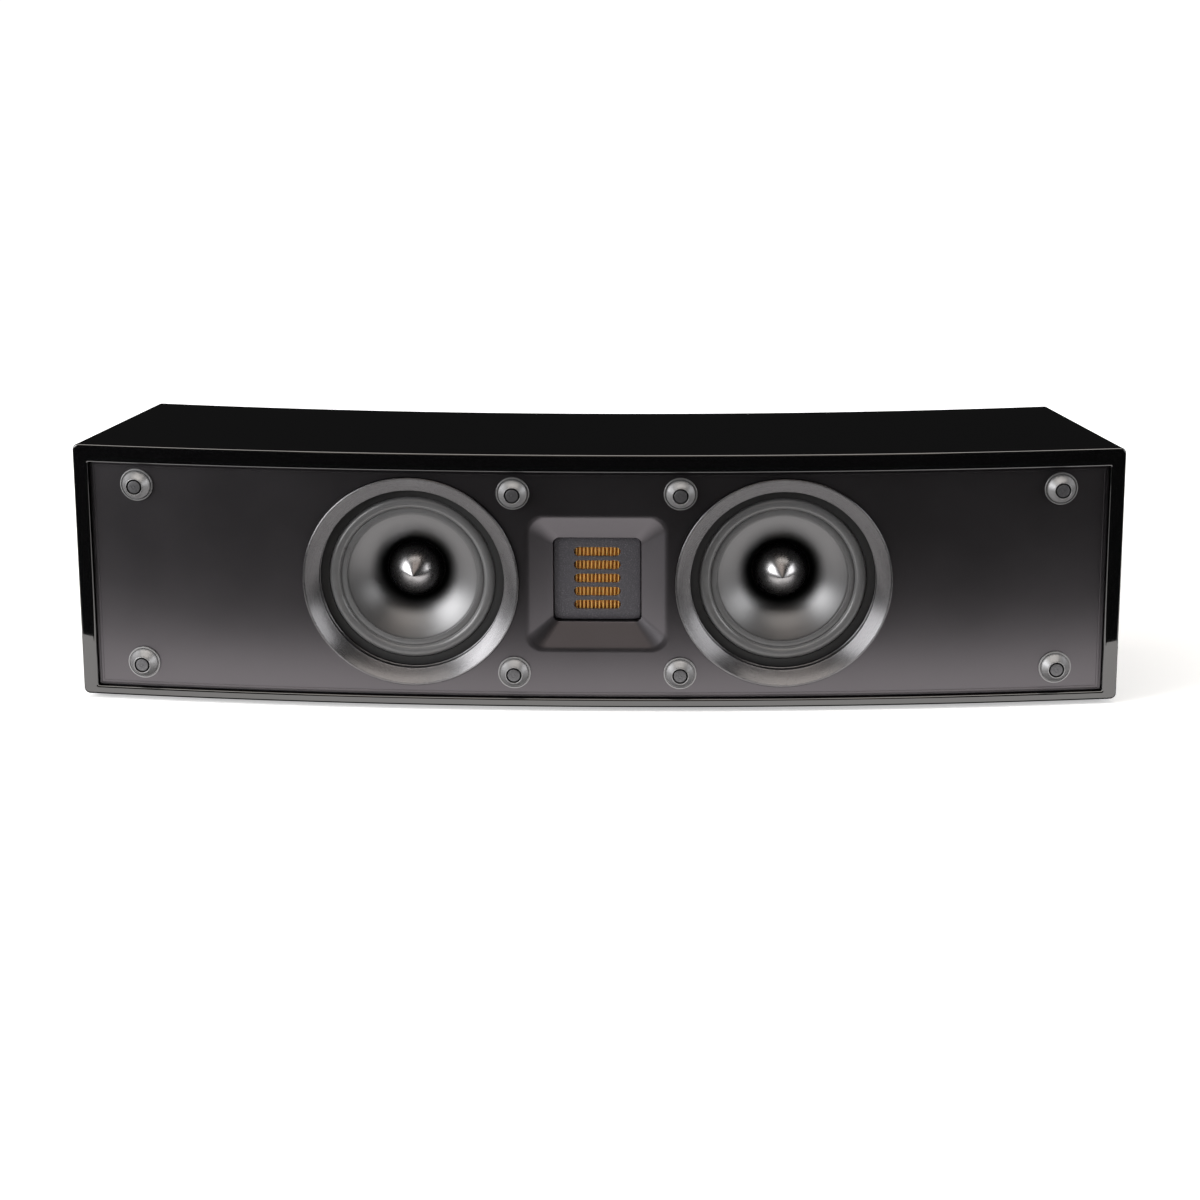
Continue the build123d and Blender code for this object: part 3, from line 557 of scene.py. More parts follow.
class Palette:
    """The finishes of this speaker, by the record's material slot."""

    def __init__(self) -> None:
        """Set out every finish."""
        home = Coords.HOME
        finishes: tuple[Finish, ...] = (
            Lacquer("lacquer"),
            Grained("rear_board", (0.012, 0.012, 0.013), 0.55, 0.8, 0.04),
            Grained("raw_board", (0.42, 0.31, 0.20), 0.8, 0.9, 0.1),
            Satin("baffle_satin"),
            Grained("felt", (0.32, 0.32, 0.31), 0.95, 0.5, 0.3, sheen=0.3),
            Grained("foot_rubber", (0.022, 0.022, 0.022), 0.75, 0.9, 0.06),
            # shade paints the post's pocket and the gap round its magnet near black: painted shade in the recess.
            Turned("post_aluminium", (0.27, 0.27, 0.275), 0.46, 0.18, 0.006, 0.8, shade=(4.9, 5.3)),
            Speckled("magnet_face", (0.10, 0.10, 0.105), (0.30, 0.30, 0.315), 0.45, 0.05, 0.45, 0.8, home),
            Turned("ring_brushed", (0.20, 0.197, 0.203), 0.27, 0.2, 0.0012, smear=20.0),
            Grained("gasket_foam", (0.007, 0.007, 0.0075), 0.7, 0.5, 0.08),
            Grained("roll_rubber", (0.10, 0.10, 0.102), 0.29, 0.7, 0.02, coords=home),
            # shade paints the cone darker towards its throat, black inside 20 mm: painted shade where light does not
            # reach.
            Turned(
                "cone_metal", (0.185, 0.185, 0.188), 0.40, 0.35, 0.002,
                colour_spread=0.06, smear=10.0, shade=(20.0, 31.0),
            ),
            Mirror("plug_black_chrome"),
            Grained("basket_cast", (0.03, 0.03, 0.032), 0.5, 0.7, 0.08),
            Grained("spider_cloth", (0.45, 0.31, 0.13), 0.85, 0.4, 0.15),
            Wound("coil_copper"),
            Grained("ferrite", (0.05, 0.05, 0.052), 0.55, 0.4, 0.05),
            Grained("motor_steel", (0.50, 0.49, 0.46), 0.32, 0.7, 0.02, metallic=1.0, mottle=0.08),
            Grained("screw_black", (0.025, 0.025, 0.027), 0.38, 0.3, 0.02, metallic=0.6),
            Speckled("slotted_plate", coords=home),
            Foil("film_gold"),
            Grained("black_plastic", (0.02, 0.02, 0.021), 0.48, 0.5, 0.05),
            Grained("terminal_brass", (0.78, 0.55, 0.22), 0.22, 0.5, 0.01, metallic=1.0, mottle=0.06),
            Grained("red_plastic", (0.38, 0.012, 0.012), 0.25, 1.5, 0.01, coat=0.6, mottle=0.1),
            Grained("black_gloss_plastic", (0.014, 0.014, 0.015), 0.25, 1.5, 0.01, coat=0.6),
            Grained("circuit_board", (0.03, 0.13, 0.05), 0.35, 0.4, 0.03),
            Grained("capacitor_sleeve", (0.5, 0.38, 0.06), 0.3, 0.6, 0.01, coat=0.4),
            Grained("resistor_ceramic", (0.7, 0.69, 0.65), 0.7, 0.6, 0.05),
            Grained("wire_sleeve", (0.22, 0.015, 0.015), 0.4, 0.6, 0.01),
        )
        self.by_slot = {finish.name: finish for finish in finishes}

    def dress(self, obj: Piece, slot: str) -> None:
        """Give a new piece the finish of a slot."""
        obj.data.materials.clear()
        obj.data.materials.append(self.by_slot[slot].material())

    def dress_frame(self) -> None:
        """Give every CAD node that still shows the finish of its own slot."""
        slots = {part["node"]: part["material_slot"] for part in frame["record"]["subparts"]}
        for name, node in frame["nodes"].items():
            if node.hide_render:
                continue
            for place in node.material_slots:
                place.material = self.by_slot[slots[name]].material()


# Mesh tools


def arc(centre: tuple[float, float], radius: float, start: float, stop: float, steps: int) -> Profile:
    """Points along a circular arc.

    Args:
        centre: Centre of the circle.
        radius: Its radius.
        start: First angle in degrees.
        stop: Last angle in degrees.
        steps: Number of segments.

    Returns:
        The points from start to stop, both included.
    """
    angles = [math.radians(start + (stop - start) * k / steps) for k in range(steps + 1)]
    return [(centre[0] + radius * math.cos(a), centre[1] + radius * math.sin(a)) for a in angles]


def sag(radius: float, half_width: float) -> float:
    """Depth of an arc over half its chord."""
    return radius - math.sqrt(radius**2 - half_width**2)


def curve(first: float, pull: float, last: float, share: float) -> float:
    """Value on a quadratic curve from first to last that is drawn towards pull."""
    return first * (1.0 - share) ** 2 + pull * (2.0 * share * (1.0 - share)) + last * share**2


@dataclass(frozen=True)
class Stations:
    """How the four sides of a closed outline are divided, starting at its lower left corner."""

    across: tuple[float, ...]
    upward: tuple[float, ...]
    corner: int = 6

    @property
    def count(self) -> int:
        """Points of one outline."""
        return 2 * (len(self.across) + len(self.upward) - 2)

    def rectangle(self, left: float, right: float, low: float, high: float) -> Profile:
        """Rectangle with this division.

        Args:
            left: Left side.
            right: Right side.
            low: Lower side.
            high: Upper side.

        Returns:
            The outline's points.
        """
        xs = [left + (right - left) * share for share in self.across]
        zs = [low + (high - low) * share for share in self.upward]
        lower = [(x, low) for x in xs[:-1]]
        far = [(right, z) for z in zs[:-1]]
        upper = [(x, high) for x in xs[:0:-1]]
        near = [(left, z) for z in zs[:0:-1]]
        return lower + far + upper + near

    def circle(self, x: float, z: float, radius: float) -> Profile:
        """Circle whose quarters answer to the four sides.

        Args:
            x: Centre along the first axis.
            z: Centre along the second axis.
            radius: Its radius.

        Returns:
            The outline's points.
        """
        points = []
        for side, steps in enumerate((len(self.across), len(self.upward)) * 2):
            for k in range(steps - 1):
                turn = math.radians(-135.0 + 90.0 * (side + k / (steps - 1)))
                points.append((x + radius * math.cos(turn), z + radius * math.sin(turn)))
        return points

    def rounded(self, x: float, z: float, half_w: float, half_h: float, radius: float) -> Profile:
        """Rounded rectangle about a centre, with half of each corner's arc on each side.

        Args:
            x: Centre along the first axis.
            z: Centre along the second axis.
            half_w: Half its width.
            half_h: Half its height.
            radius: Corner radius.

        Returns:
            The outline's points.
        """
        points = []
        for side, steps in enumerate((len(self.across), len(self.upward)) * 2):
            turn = math.radians(90.0 * side)
            reach, out = (half_w, half_h) if side % 2 == 0 else (half_h, half_w)
            for k in range(steps - 1):
                along, away = self.rounded_side(k, steps - 1, reach, out, radius)
                points.append(
                    (
                        x + along * math.cos(turn) - away * math.sin(turn),
                        z + along * math.sin(turn) + away * math.cos(turn),
                    )
                )
        return points

    def rounded_side(self, k: int, steps: int, reach: float, out: float, radius: float) -> tuple[float, float]:
        """One point of a rounded rectangle's lower side, from its left corner.

        Args:
            k: The point's number.
            steps: Steps of the side.
            reach: Half the side's length.
            out: The side's distance from the centre.
            radius: Corner radius.

        Returns:
            The point, along the side and away from the centre.
        """
        mirrored = 2 * k > steps
        rank = steps - k if mirrored else k
        if rank < self.corner:
            turn = math.radians(225.0 + 45.0 * rank / self.corner)
            along = -reach + radius + radius * math.cos(turn)
            away = -out + radius + radius * math.sin(turn)
        else:
            share = (rank - self.corner) / (steps - 2 * self.corner)
            along = (reach - radius) * (2.0 * share - 1.0)
            away = -out
        return (-along if mirrored else along), away


def even(steps: int) -> tuple[float, ...]:
    """Even division of a side."""
    return tuple(k / steps for k in range(steps + 1))


def hemmed(steps: int, hem: float) -> tuple[float, ...]:
    """Even division of a side, with one narrow step of share hem at both ends."""
    inner = [hem + (1.0 - 2.0 * hem) * k / (steps - 2) for k in range(steps - 1)]
    return (0.0, *inner, 1.0)


class Bench:
    """Modelling bench: adds a primitive and shapes it in edit mode."""

    @staticmethod
    def start(name: str, outline: Loop) -> Piece:
        """Add a ring of edges through an outline's points and leave it in edit mode.

        Args:
            name: Name of the new piece.
            outline: Points in millimetres.

        Returns:
            The new object.
        """
        if bpy.context.object is not None and bpy.context.object.mode != "OBJECT":
            bpy.ops.object.mode_set(mode="OBJECT")
        bpy.ops.object.select_all(action="DESELECT")
        bpy.ops.mesh.primitive_circle_add(vertices=len(outline), fill_type="NOTHING")
        obj = bpy.context.object
        obj.name = obj.data.name = name
        bpy.ops.object.mode_set(mode="EDIT")
        mesh = bmesh.from_edit_mesh(obj.data)
        station = mesh.verts.layers.int.new("station")
        for index, vert in enumerate(mesh.verts):
            vert[station] = index
            vert.co = Vector(outline[index]) * MM
        bmesh.update_edit_mesh(obj.data)
        return obj

    @staticmethod
    def skin(name: str, loops: Sequence[Loop]) -> Piece:
        """Extrude a ring of edges through a row of outlines of equal length.

        Args:
            name: Name of the new piece.
            loops: Outlines in millimetres.

        Returns:
            The piece, in object mode.
        """
        obj = Bench.start(name, loops[0])
        for outline in loops[1:]:
            bpy.ops.mesh.extrude_edges_move()
            mesh = bmesh.from_edit_mesh(obj.data)
            station = mesh.verts.layers.int["station"]
            for vert in mesh.verts:
                if vert.select:
                    vert.co = Vector(outline[vert[station]]) * MM
            bmesh.update_edit_mesh(obj.data)
        bpy.ops.object.mode_set(mode="OBJECT")
        return obj

    @staticmethod
    def turned(name: str, profile: Profile, steps: int, sweep: float = 360.0, start: float = 0.0) -> Piece:
        """Spin a closed half-section about the z axis.

        Args:
            name: Name of the new piece.
            profile: Points as (radius, height) in millimetres.
            steps: Segments of the sweep.
            sweep: Angle in degrees; below 360 one end is filled, and close_end fills the other.
            start: First angle in degrees.

        Returns:
            The piece, in object mode.
        """
        turn = math.radians(start)
        outline = [(r * math.cos(turn), r * math.sin(turn), w) for r, w in profile]
        obj = Bench.start(name, outline)
        if sweep < 360.0:
            bpy.ops.mesh.edge_face_add()
        bpy.ops.mesh.spin(steps=steps, angle=math.radians(sweep), center=(0, 0, 0), axis=(0, 0, 1))
        bpy.ops.object.mode_set(mode="OBJECT")
        return obj

    @staticmethod
    def pick(*pieces: Piece) -> None:
        """Select pieces and nothing else, with the first one active.

        Args:
            pieces: The pieces.
        """
        bpy.ops.object.select_all(action="DESELECT")
        for piece in pieces:
            piece.select_set(True)
        bpy.context.view_layer.objects.active = pieces[0]

    @staticmethod
    def edit(obj: Piece) -> None:
        """Enter edit mode on one piece with everything selected.

        Args:
            obj: The piece.
        """
        Bench.pick(obj)
        bpy.ops.object.mode_set(mode="EDIT")
        bpy.ops.mesh.select_mode(type="VERT")
        bpy.ops.mesh.select_all(action="SELECT")

    @staticmethod
    def join(name: str, parts: Sequence[Piece]) -> Piece:
        """Join pieces into the first of them.

        Args:
            name: Name of the whole.
            parts: The pieces.

        Returns:
            The whole.
        """
        Bench.pick(*parts)
        bpy.ops.object.join()
        parts[0].name = parts[0].data.name = name
        return parts[0]

    @staticmethod
    def weld(obj: Piece, gap: float = 0.004) -> None:
        """Merge points closer than gap millimetres and turn all faces outwards.

        Args:
            obj: The piece.
            gap: Distance in millimetres.
        """
        Bench.edit(obj)
        bpy.ops.mesh.remove_doubles(threshold=gap * MM)
        bpy.ops.mesh.dissolve_degenerate(threshold=gap * MM * 0.1)
        bpy.ops.mesh.select_all(action="SELECT")
        bpy.ops.mesh.normals_make_consistent(inside=False)
        bpy.ops.object.mode_set(mode="OBJECT")

    @staticmethod
    def extrude_border(obj: Piece, chosen: Callable[[Vector], bool], move: Callable[[Vector], Vector]) -> None:
        """Extrude the open edges whose two ends are chosen, and move the new points.

        Args:
            obj: The piece.
            chosen: Test of a point in millimetres.
            move: New place of a point, both in millimetres.
        """
        Bench.pick_border(obj, chosen)
        bpy.ops.mesh.extrude_edges_move()
        mesh = bmesh.from_edit_mesh(obj.data)
        for vert in mesh.verts:
            if vert.select:
                vert.co = move(vert.co / MM) * MM
        bmesh.update_edit_mesh(obj.data)
        bpy.ops.object.mode_set(mode="OBJECT")

    @staticmethod
    def pick_border(obj: Piece, chosen: Callable[[Vector], bool]) -> bool:
        """Select the open edges whose two ends are chosen, in edit mode, and say whether there are any.

        Args:
            obj: The piece.
            chosen: Test of a point in millimetres.

        Returns:
            Whether any edge is selected.
        """
        Bench.edit(obj)
        bpy.ops.mesh.select_all(action="DESELECT")
        bpy.ops.mesh.select_mode(type="EDGE")
        mesh = bmesh.from_edit_mesh(obj.data)
        border = [edge for edge in mesh.edges if edge.is_boundary and all(chosen(v.co / MM) for v in edge.verts)]
        for edge in border:
            edge.select_set(True)
        bmesh.update_edit_mesh(obj.data)
        return bool(border)

    @staticmethod
    def close_end(obj: Piece) -> None:
        """Fill the open end that a partial spin or an open row of outlines leaves."""
        if Bench.pick_border(obj, lambda point: True):
            bpy.ops.mesh.edge_face_add()
        bpy.ops.object.mode_set(mode="OBJECT")

    @staticmethod
    def warp(obj: Piece, lay: Callable[[Point], Point]) -> None:
        """Move every point of a piece by a rule in millimetres."""
        for vert in obj.data.vertices:
            vert.co = Vector(lay(tuple(vert.co / MM))) * MM

    @staticmethod
    def place(obj: Piece, seat: Matrix) -> None:
        """Keep each point's place on its seat as an attribute, then move the mesh there."""
        home = obj.data.attributes.new(HOME, "FLOAT_VECTOR", "POINT")
        home.data.foreach_set("vector", [part for vert in obj.data.vertices for part in vert.co])
        obj.data.transform(seat)

    @staticmethod
    def smooth(obj: Piece, angle: float, weighted: bool = False) -> None:
        """Shade a piece smooth except over sharp edges.

        Args:
            obj: The piece.
            angle: Edges sharper than this many degrees stay sharp.
            weighted: Let large faces set the normals, so that flats beside small rounds stay flat.
        """
        Bench.pick(obj)
        bpy.ops.object.shade_smooth_by_angle(angle=math.radians(angle))
        if weighted:
            modifier = obj.modifiers.new("weighted", "WEIGHTED_NORMAL")
            modifier.keep_sharp = True
            bpy.ops.object.modifier_apply(modifier=modifier.name)

    @staticmethod
    def copy(obj: Piece, name: str) -> Piece:
        """Copy of a piece with its own mesh.

        Args:
            obj: The piece.
            name: Name of the copy.

        Returns:
            The copy.
        """
        twin = obj.copy()
        twin.data = obj.data.copy()
        twin.name = twin.data.name = name
        bpy.context.collection.objects.link(twin)
        return twin


def stand_for(obj: Piece, body: str, *nodes: str) -> None:
    """Let a piece ride on a body in place of CAD nodes, and report it."""
    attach(obj, body)
    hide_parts(*nodes)
    log.info("%s rides on %s, %d faces", obj.name, body, len(obj.data.polygons))


# Shared places


@dataclass(frozen=True)
class Bow:
    """Upright cylinder that the front or the back follows, bulging towards -Y."""

    centre_y: float
    radius: float

    def lay(self, point: Point) -> Point:
        """Lay a flat point (along, outwards, up) on the bow.

        Args:
            point: Flat point in millimetres.

        Returns:
            Its place on the bow.
        """
        along, out, up = point
        turn = along / self.radius
        reach = self.radius + out
        return reach * math.sin(turn), self.centre_y - reach * math.cos(turn), up

    def along(self, x: float) -> float:
        """Distance along the bow to a place x beside its middle."""
        return self.radius * math.asin(x / self.radius)

    def seat(self, x: float, z: float) -> Matrix:
        """Frame in metres at a place on the bow: x to the right, y up, z outwards.

        Args:
            x: Place beside the middle.
            z: Height.

        Returns:
            The frame.
        """
        turn = math.asin(x / self.radius)
        place = Vector((x, self.centre_y - self.radius * math.cos(turn), z)) * MM
        right = Vector((math.cos(turn), math.sin(turn), 0.0))
        out = Vector((math.sin(turn), -math.cos(turn), 0.0))
        axes = Matrix((right, Vector((0.0, 0.0, 1.0)), out)).transposed()
        return Matrix.Translation(place) @ axes.to_4x4()


@dataclass
class Layout:
    """Places that several sub-assemblies share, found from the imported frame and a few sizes."""

    front_radius: float = 2570.0
    rear_radius: float = 1915.0
    recess: float = 4.0
    terminal_sink: float = 2.0
    front_y: float = field(init=False)
    rear_y: float = field(init=False)
    base_z: float = field(init=False)
    mid_z: float = field(init=False)
    plate_z: float = field(init=False)
    plate_drop: float = 1.0

    def __post_init__(self) -> None:
        """Read the places from the CAD nodes' boxes."""
        shell_low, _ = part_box("cabinet_shell")
        ring_low, ring_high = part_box("trim_ring_left")
        terminal_low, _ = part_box("terminal_plate")
        self.front_y = shell_low[1] / MM
        self.base_z = shell_low[2] / MM
        self.mid_z = (ring_low[2] + ring_high[2]) / 2 / MM
        self.plate_z = self.mid_z - self.plate_drop
        self.rear_y = terminal_low[1] / MM + self.terminal_sink

    @property
    def face(self) -> Bow:
        """Bow of the baffle plate's face."""
        return Bow(self.front_y + self.front_radius, self.front_radius - self.recess)

    @property
    def back(self) -> Bow:
        """Bow of the rear panel's outer face."""
        return Bow(self.rear_y + self.rear_radius, self.rear_radius)

    def rear_seat(self, x: float) -> Matrix:
        """Frame on the back, beside its middle: x to the left, y up, z backwards."""
        place = Vector((x, self.rear_y, self.mid_z)) * MM
        axes = Matrix(((-1.0, 0.0, 0.0), (0.0, 0.0, 1.0), (0.0, 1.0, 0.0)))
        return Matrix.Translation(place) @ axes.to_4x4()


# Sub-assemblies


@dataclass
class Assembly:
    """Group of pieces with the places that they share and their finishes."""

    layout: Layout
    palette: Palette

    def settle(
        self,
        piece: Piece,
        slot: str,
        body: str,
        node: str,
        seat: Optional[Matrix] = None,
        angle: float = 30.0,
        weighted: bool = False,
    ) -> Piece:
        """Seat, shade and dress a piece, and let it stand for a CAD node.

        Args:
            piece: The welded piece.
            slot: Its material slot.
            body: Body that it rides on.
            node: CAD node that it replaces.
            seat: Frame to place it on, if it isn't in place yet.
            angle: Sharpest bend in degrees that is shaded as smooth.
            weighted: Whether large faces keep their own direction.

        Returns:
            The same piece.
        """
        if seat is not None:
            Bench.place(piece, seat)
        Bench.smooth(piece, angle, weighted)
        self.palette.dress(piece, slot)
        stand_for(piece, body, node)
        return piece

    def repeat(
        self, first: Piece, slot: str, node: str, seats: Sequence[Matrix], angle: float = 30.0
    ) -> list[Piece]:
        """Settle a numbered copy of a piece on every seat, and take the first one away.

        Args:
            first: The piece that is copied.
            slot: Material slot of the copies.
            node: CAD node that they replace together.
            seats: Frames of the copies.
            angle: Sharpest bend in degrees that is shaded as smooth.

        Returns:
            The copies.
        """
        made = []
        for number, seat in enumerate(seats, 1):
            twin = Bench.copy(first, f"{first.name}_{number}")
            made.append(self.settle(twin, slot, ROOT_BODY, node, seat, angle))
        bpy.data.objects.remove(first)
        return made


@dataclass
class Cabinet(Assembly):
    """Bowed gloss shell with its frame, rabbets and feet."""

    width: float = 681.0
    rear_width: float = 600.0
    height: float = 171.0
    depth: float = 105.0
    wall: float = 15.0
    bar_top: float = 10.7
    bar_bottom: float = 4.5
    bar_side: float = 8.2
    corner_r: float = 4.0
    edge_r: float = 1.4
    lip_r: float = 1.4
    mouth_corner_r: float = 2.0
    mouth_depth: float = 26.0
    rear_lip: float = 7.0
    rear_t: float = 12.0
    foot_r: float = 8.0
    foot_h: float = 3.0
    foot_x: float = 240.0
    foot_inset: float = 24.0
    steps_across: int = 72
    steps_up: int = 20

    def bend(self, point: Point) -> Point:
        """Lay a straight point (across, depth, up) between the two bows and the tapered sides.

        Args:
            point: Straight point.

        Returns:
            The bent point.
        """
        across, behind, up = point
        share = behind / self.depth
        rear_x = across * self.rear_width / self.width
        front_y = self.layout.front_y + sag(self.layout.front_radius, across)
        rear_y = self.layout.rear_y + sag(self.layout.rear_radius, rear_x)
        return across + (rear_x - across) * share, front_y + (rear_y - front_y) * share, up

    def rim(self, behind: float, side: float, low: float, high: float, corner: float) -> Loop:
        """Outline of the shell at one depth.

        Args:
            behind: Depth behind the front.
            side: Inset from the tapered sides.
            low: Inset from the bottom.
            high: Inset from the top.
            corner: Corner radius.

        Returns:
            The outline's points in straight space.
        """
        taper = 1.0 - (1.0 - self.rear_width / self.width) * behind / self.depth
        half_w = self.width / 2 - side / taper
        bottom = self.layout.base_z + low
        half_h = (self.height - low - high) / 2
        stations = Stations(even(self.steps_across), even(self.steps_up))
        outline = stations.rounded(0.0, bottom + half_h, half_w, half_h, corner)
        return [(x, behind, z) for x, z in outline]

    def build_shell(self) -> Piece:
        """Shell from the front edge round the back and through the cavity to the frame's lip.

        Returns:
            The finished shell.
        """
        def even_rim(behind: float, inset: float, corner: float) -> Loop:
            """Outline with the same inset all round."""
            return self.rim(behind, inset, inset, inset, corner)

        def mouth(behind: float, grow: float) -> Loop:
            """Outline of the frame's mouth, grown towards its lip."""
            insets = (self.bar_side - grow, self.bar_bottom - grow, self.bar_top - grow)
            return self.rim(behind, *insets, self.mouth_corner_r + grow)

        loops = []
        for inset, behind in arc((self.edge_r, self.edge_r), self.edge_r, 270.0, 180.0, 5):
            loops.append(even_rim(behind, inset, self.corner_r - inset))
        rear = self.depth - self.edge_r
        for inset, behind in arc((self.edge_r, rear), self.edge_r, 180.0, 90.0, 5):
            loops.append(even_rim(behind, inset, self.corner_r - inset))
        seat = self.depth - self.rear_t
        sharp = 0.4
        loops.append(even_rim(self.depth, self.rear_lip, sharp))
        loops.append(even_rim(seat, self.rear_lip, sharp))
        loops.append(even_rim(seat, self.wall, sharp))
        loops.append(even_rim(self.mouth_depth, self.wall, sharp))
        loops.append(mouth(self.mouth_depth, 0.0))
        loops.append(mouth(self.lip_r, 0.0))
        for inset, behind in arc((self.lip_r, self.lip_r), self.lip_r, 0.0, -90.0, 4):
            loops.append(mouth(behind, self.lip_r - inset))
        loops.append(loops[0])
        shell = Bench.skin("cabinet_shell_lacquered", loops)
        Bench.weld(shell)
        Bench.warp(shell, self.bend)
        return self.settle(shell, "lacquer", ROOT_BODY, "cabinet_shell", angle=40.0, weighted=True)

    def build_feet(self) -> list[Piece]:
        """Four rubber pads, one turned and three copied.

        Returns:
            The pads.
        """
        top, rim, groove = self.foot_h, 0.8, ((2.4, 0.0), (2.0, 0.35), (1.6, 0.0))
        profile = [(0.0, 0.0)] + [(self.foot_r - inset, deep) for inset, deep in groove]
        profile += arc((self.foot_r - rim, rim), rim, 270.0, 360.0, 4)
        profile += [(self.foot_r, top), (0.0, top)]
        first = Bench.turned("foot_pad", profile, 48)
        Bench.weld(first)
        front = self.layout.front_y + sag(self.layout.front_radius, self.foot_x) + self.foot_inset
        back = self.layout.rear_y + sag(self.layout.rear_radius, self.foot_x) - self.foot_inset
        places = [Vector((x, y, 0.0)) for x in (-self.foot_x, self.foot_x) for y in (front, back)]
        seats = [Matrix.Translation(place * MM) for place in places]
        return self.repeat(first, "foot_rubber", "feet", seats, 35.0)


@dataclass
class Baffle(Assembly):
    """Bowed satin plate with two round seats, a flared recess and the grille posts."""

    half_w: float = 330.2
    half_h: float = 77.0
    bevel: float = 0.5
    land: float = 3.3
    thickness: float = 4.0
    zone_inner: float = 49.0
    zone_outer: float = 193.0
    woofer_x: float = 121.0
    seat_r: float = 70.7
    bore_r: float = 68.5
    seat_sink: float = 1.3
    guide_half_w: float = 45.25
    guide_half_h: float = 45.0
    guide_corner_r: float = 10.0
    guide_depth: float = 9.0
    roll_r: float = 8.0
    throat_half_w: float = 28.75
    throat_half_h: float = 28.5
    throat_corner_r: float = 3.5
    throat_edge_r: float = 0.7
    throat_back: float = 16.0
    boss_half: float = 41.75
    end_step: float = 9.0
    hem: float = 0.4
    chamfer: float = 0.25
    flare_corner_r: float = 5.0
    grooves: tuple[tuple[float, float], ...] = (
        (0.2, -0.18), (0.4, -0.18), (0.6, 0.0), (1.5, 0.0), (1.7, -0.3), (1.95, -0.3), (2.15, 0.0)
    )
    post_x: tuple[float, float] = (54.0, 299.0)
    post_z: float = 60.8

    @property
    def stations(self) -> Stations:
        """Division of the zones' sides, with a narrow hem for the rounded corners."""
        return Stations(even(32), hemmed(32, self.hem / (2 * self.field_h)))

    @property
    def field_h(self) -> float:
        """Half height of the face inside its edge land."""
        return self.half_h - self.bevel - self.land

    @property
    def end(self) -> float:
        """Distance along the bow to the end of the face inside its edge land."""
        return self.layout.face.along(self.half_w) - self.bevel - self.land

    def zone(self, left: float, right: float, out: float, grow: float) -> Loop:
        """Outline of a zone on the face or on the back of the plate.

        Args:
            left: Left side.
            right: Right side.
            out: Height over the face.
            grow: Added to the half height.

        Returns:
            The outline's points.
        """
        half = self.field_h + grow
        mid = self.layout.plate_z
        outline = self.stations.rectangle(left, right, mid - half, mid + half)
        return [(x, out, z) for x, z in outline]

    def woofer_zone(self, side: Side) -> Piece:
        """Zone round one woofer, from the face through its stepped seat to the back.

        Args:
            side: Which woofer.

        Returns:
            The zone, still flat.
        """
        inner, outer = side.value * self.zone_inner, side.value * self.zone_outer
        left, right = min(inner, outer), max(inner, outer)
        middle = self.layout.face.along(side.value * self.woofer_x)

        def ring(radius: float, out: float) -> Loop:
            """Circle about the woofer's axis."""
            outline = self.stations.circle(middle, self.layout.mid_z, radius)
            return [(x, out, z) for x, z in outline]

        loops = [self.zone(left, right, 0.0, 0.0), ring(self.seat_r + self.chamfer, 0.0)]
        loops += [ring(self.seat_r, -self.chamfer), ring(self.seat_r, -self.seat_sink)]
        loops += [ring(self.bore_r, -self.seat_sink)]
        loops += [ring(self.bore_r, -self.thickness), self.zone(left, right, -self.thickness, self.bevel + self.land)]
        return Bench.skin(f"woofer_zone_{side.word}", loops)

    def flare(self, behind: float) -> tuple[float, float, float]:
        """Half width, half height and corner radius of the flare at a depth.

        Args:
            behind: Depth behind the face.

        Returns:
            The three sizes.
        """
        share = behind / self.guide_depth
        half_w = self.guide_half_w + (self.throat_half_w - self.guide_half_w) * share
        half_h = self.guide_half_h + (self.throat_half_h - self.guide_half_h) * share
        corner = self.guide_corner_r + (self.flare_corner_r - self.guide_corner_r) * share
        return half_w, half_h, corner

    def tweeter_zone(self) -> Piece:
        """Zone round the tweeter: rolled edge, flare, throat and the boss behind it.

        Returns:
            The zone, still flat.
        """
        def square(behind: float, half_w: float, half_h: float, corner: float) -> Loop:
            """Rounded outline of the recess at one depth."""
            outline = self.stations.rounded(0.0, self.layout.mid_z, half_w, half_h, corner)
            return [(x, -behind, z) for x, z in outline]

        slope = math.atan2(self.guide_depth, self.guide_half_w - self.throat_half_w)
        reach = self.roll_r * math.tan(slope / 2)
        loops = [self.zone(-self.zone_inner, self.zone_inner, 0.0, 0.0)]
        for k in range(7):
            turn = slope * k / 6
            out = reach - self.roll_r * math.sin(turn)
            drop = self.roll_r * (1.0 - math.cos(turn))
            corner = self.guide_corner_r + max(out, 0.0)
            loops.append(square(drop, self.guide_half_w + out, self.guide_half_h + out, corner))
        first = self.roll_r * (1.0 - math.cos(slope))
        edge = self.throat_edge_r * math.tan((math.pi / 2 - slope) / 2)
        last = self.guide_depth - edge * math.sin(slope)
        for k in range(1, 7):
            behind = first + (last - first) * k / 6
            loops.append(square(behind, *self.flare(behind)))
        for k in range(1, 5):
            turn = slope + (math.pi / 2 - slope) * k / 4
            inset = self.throat_edge_r * (1.0 - math.sin(turn))
            behind = self.guide_depth + edge - self.throat_edge_r * math.cos(turn)
            sizes = (self.throat_half_w + inset, self.throat_half_h + inset, self.throat_corner_r + inset)
            loops.append(square(behind, *sizes))
        throat = (self.throat_half_w, self.throat_half_h, self.throat_corner_r)
        boss = (self.boss_half, self.boss_half, self.guide_corner_r)
        loops += [square(self.throat_back, *throat), square(self.throat_back, *boss), square(self.thickness, *boss)]
        loops.append(self.zone(-self.zone_inner, self.zone_inner, -self.thickness, self.bevel + self.land))
        return Bench.skin("tweeter_zone", loops)

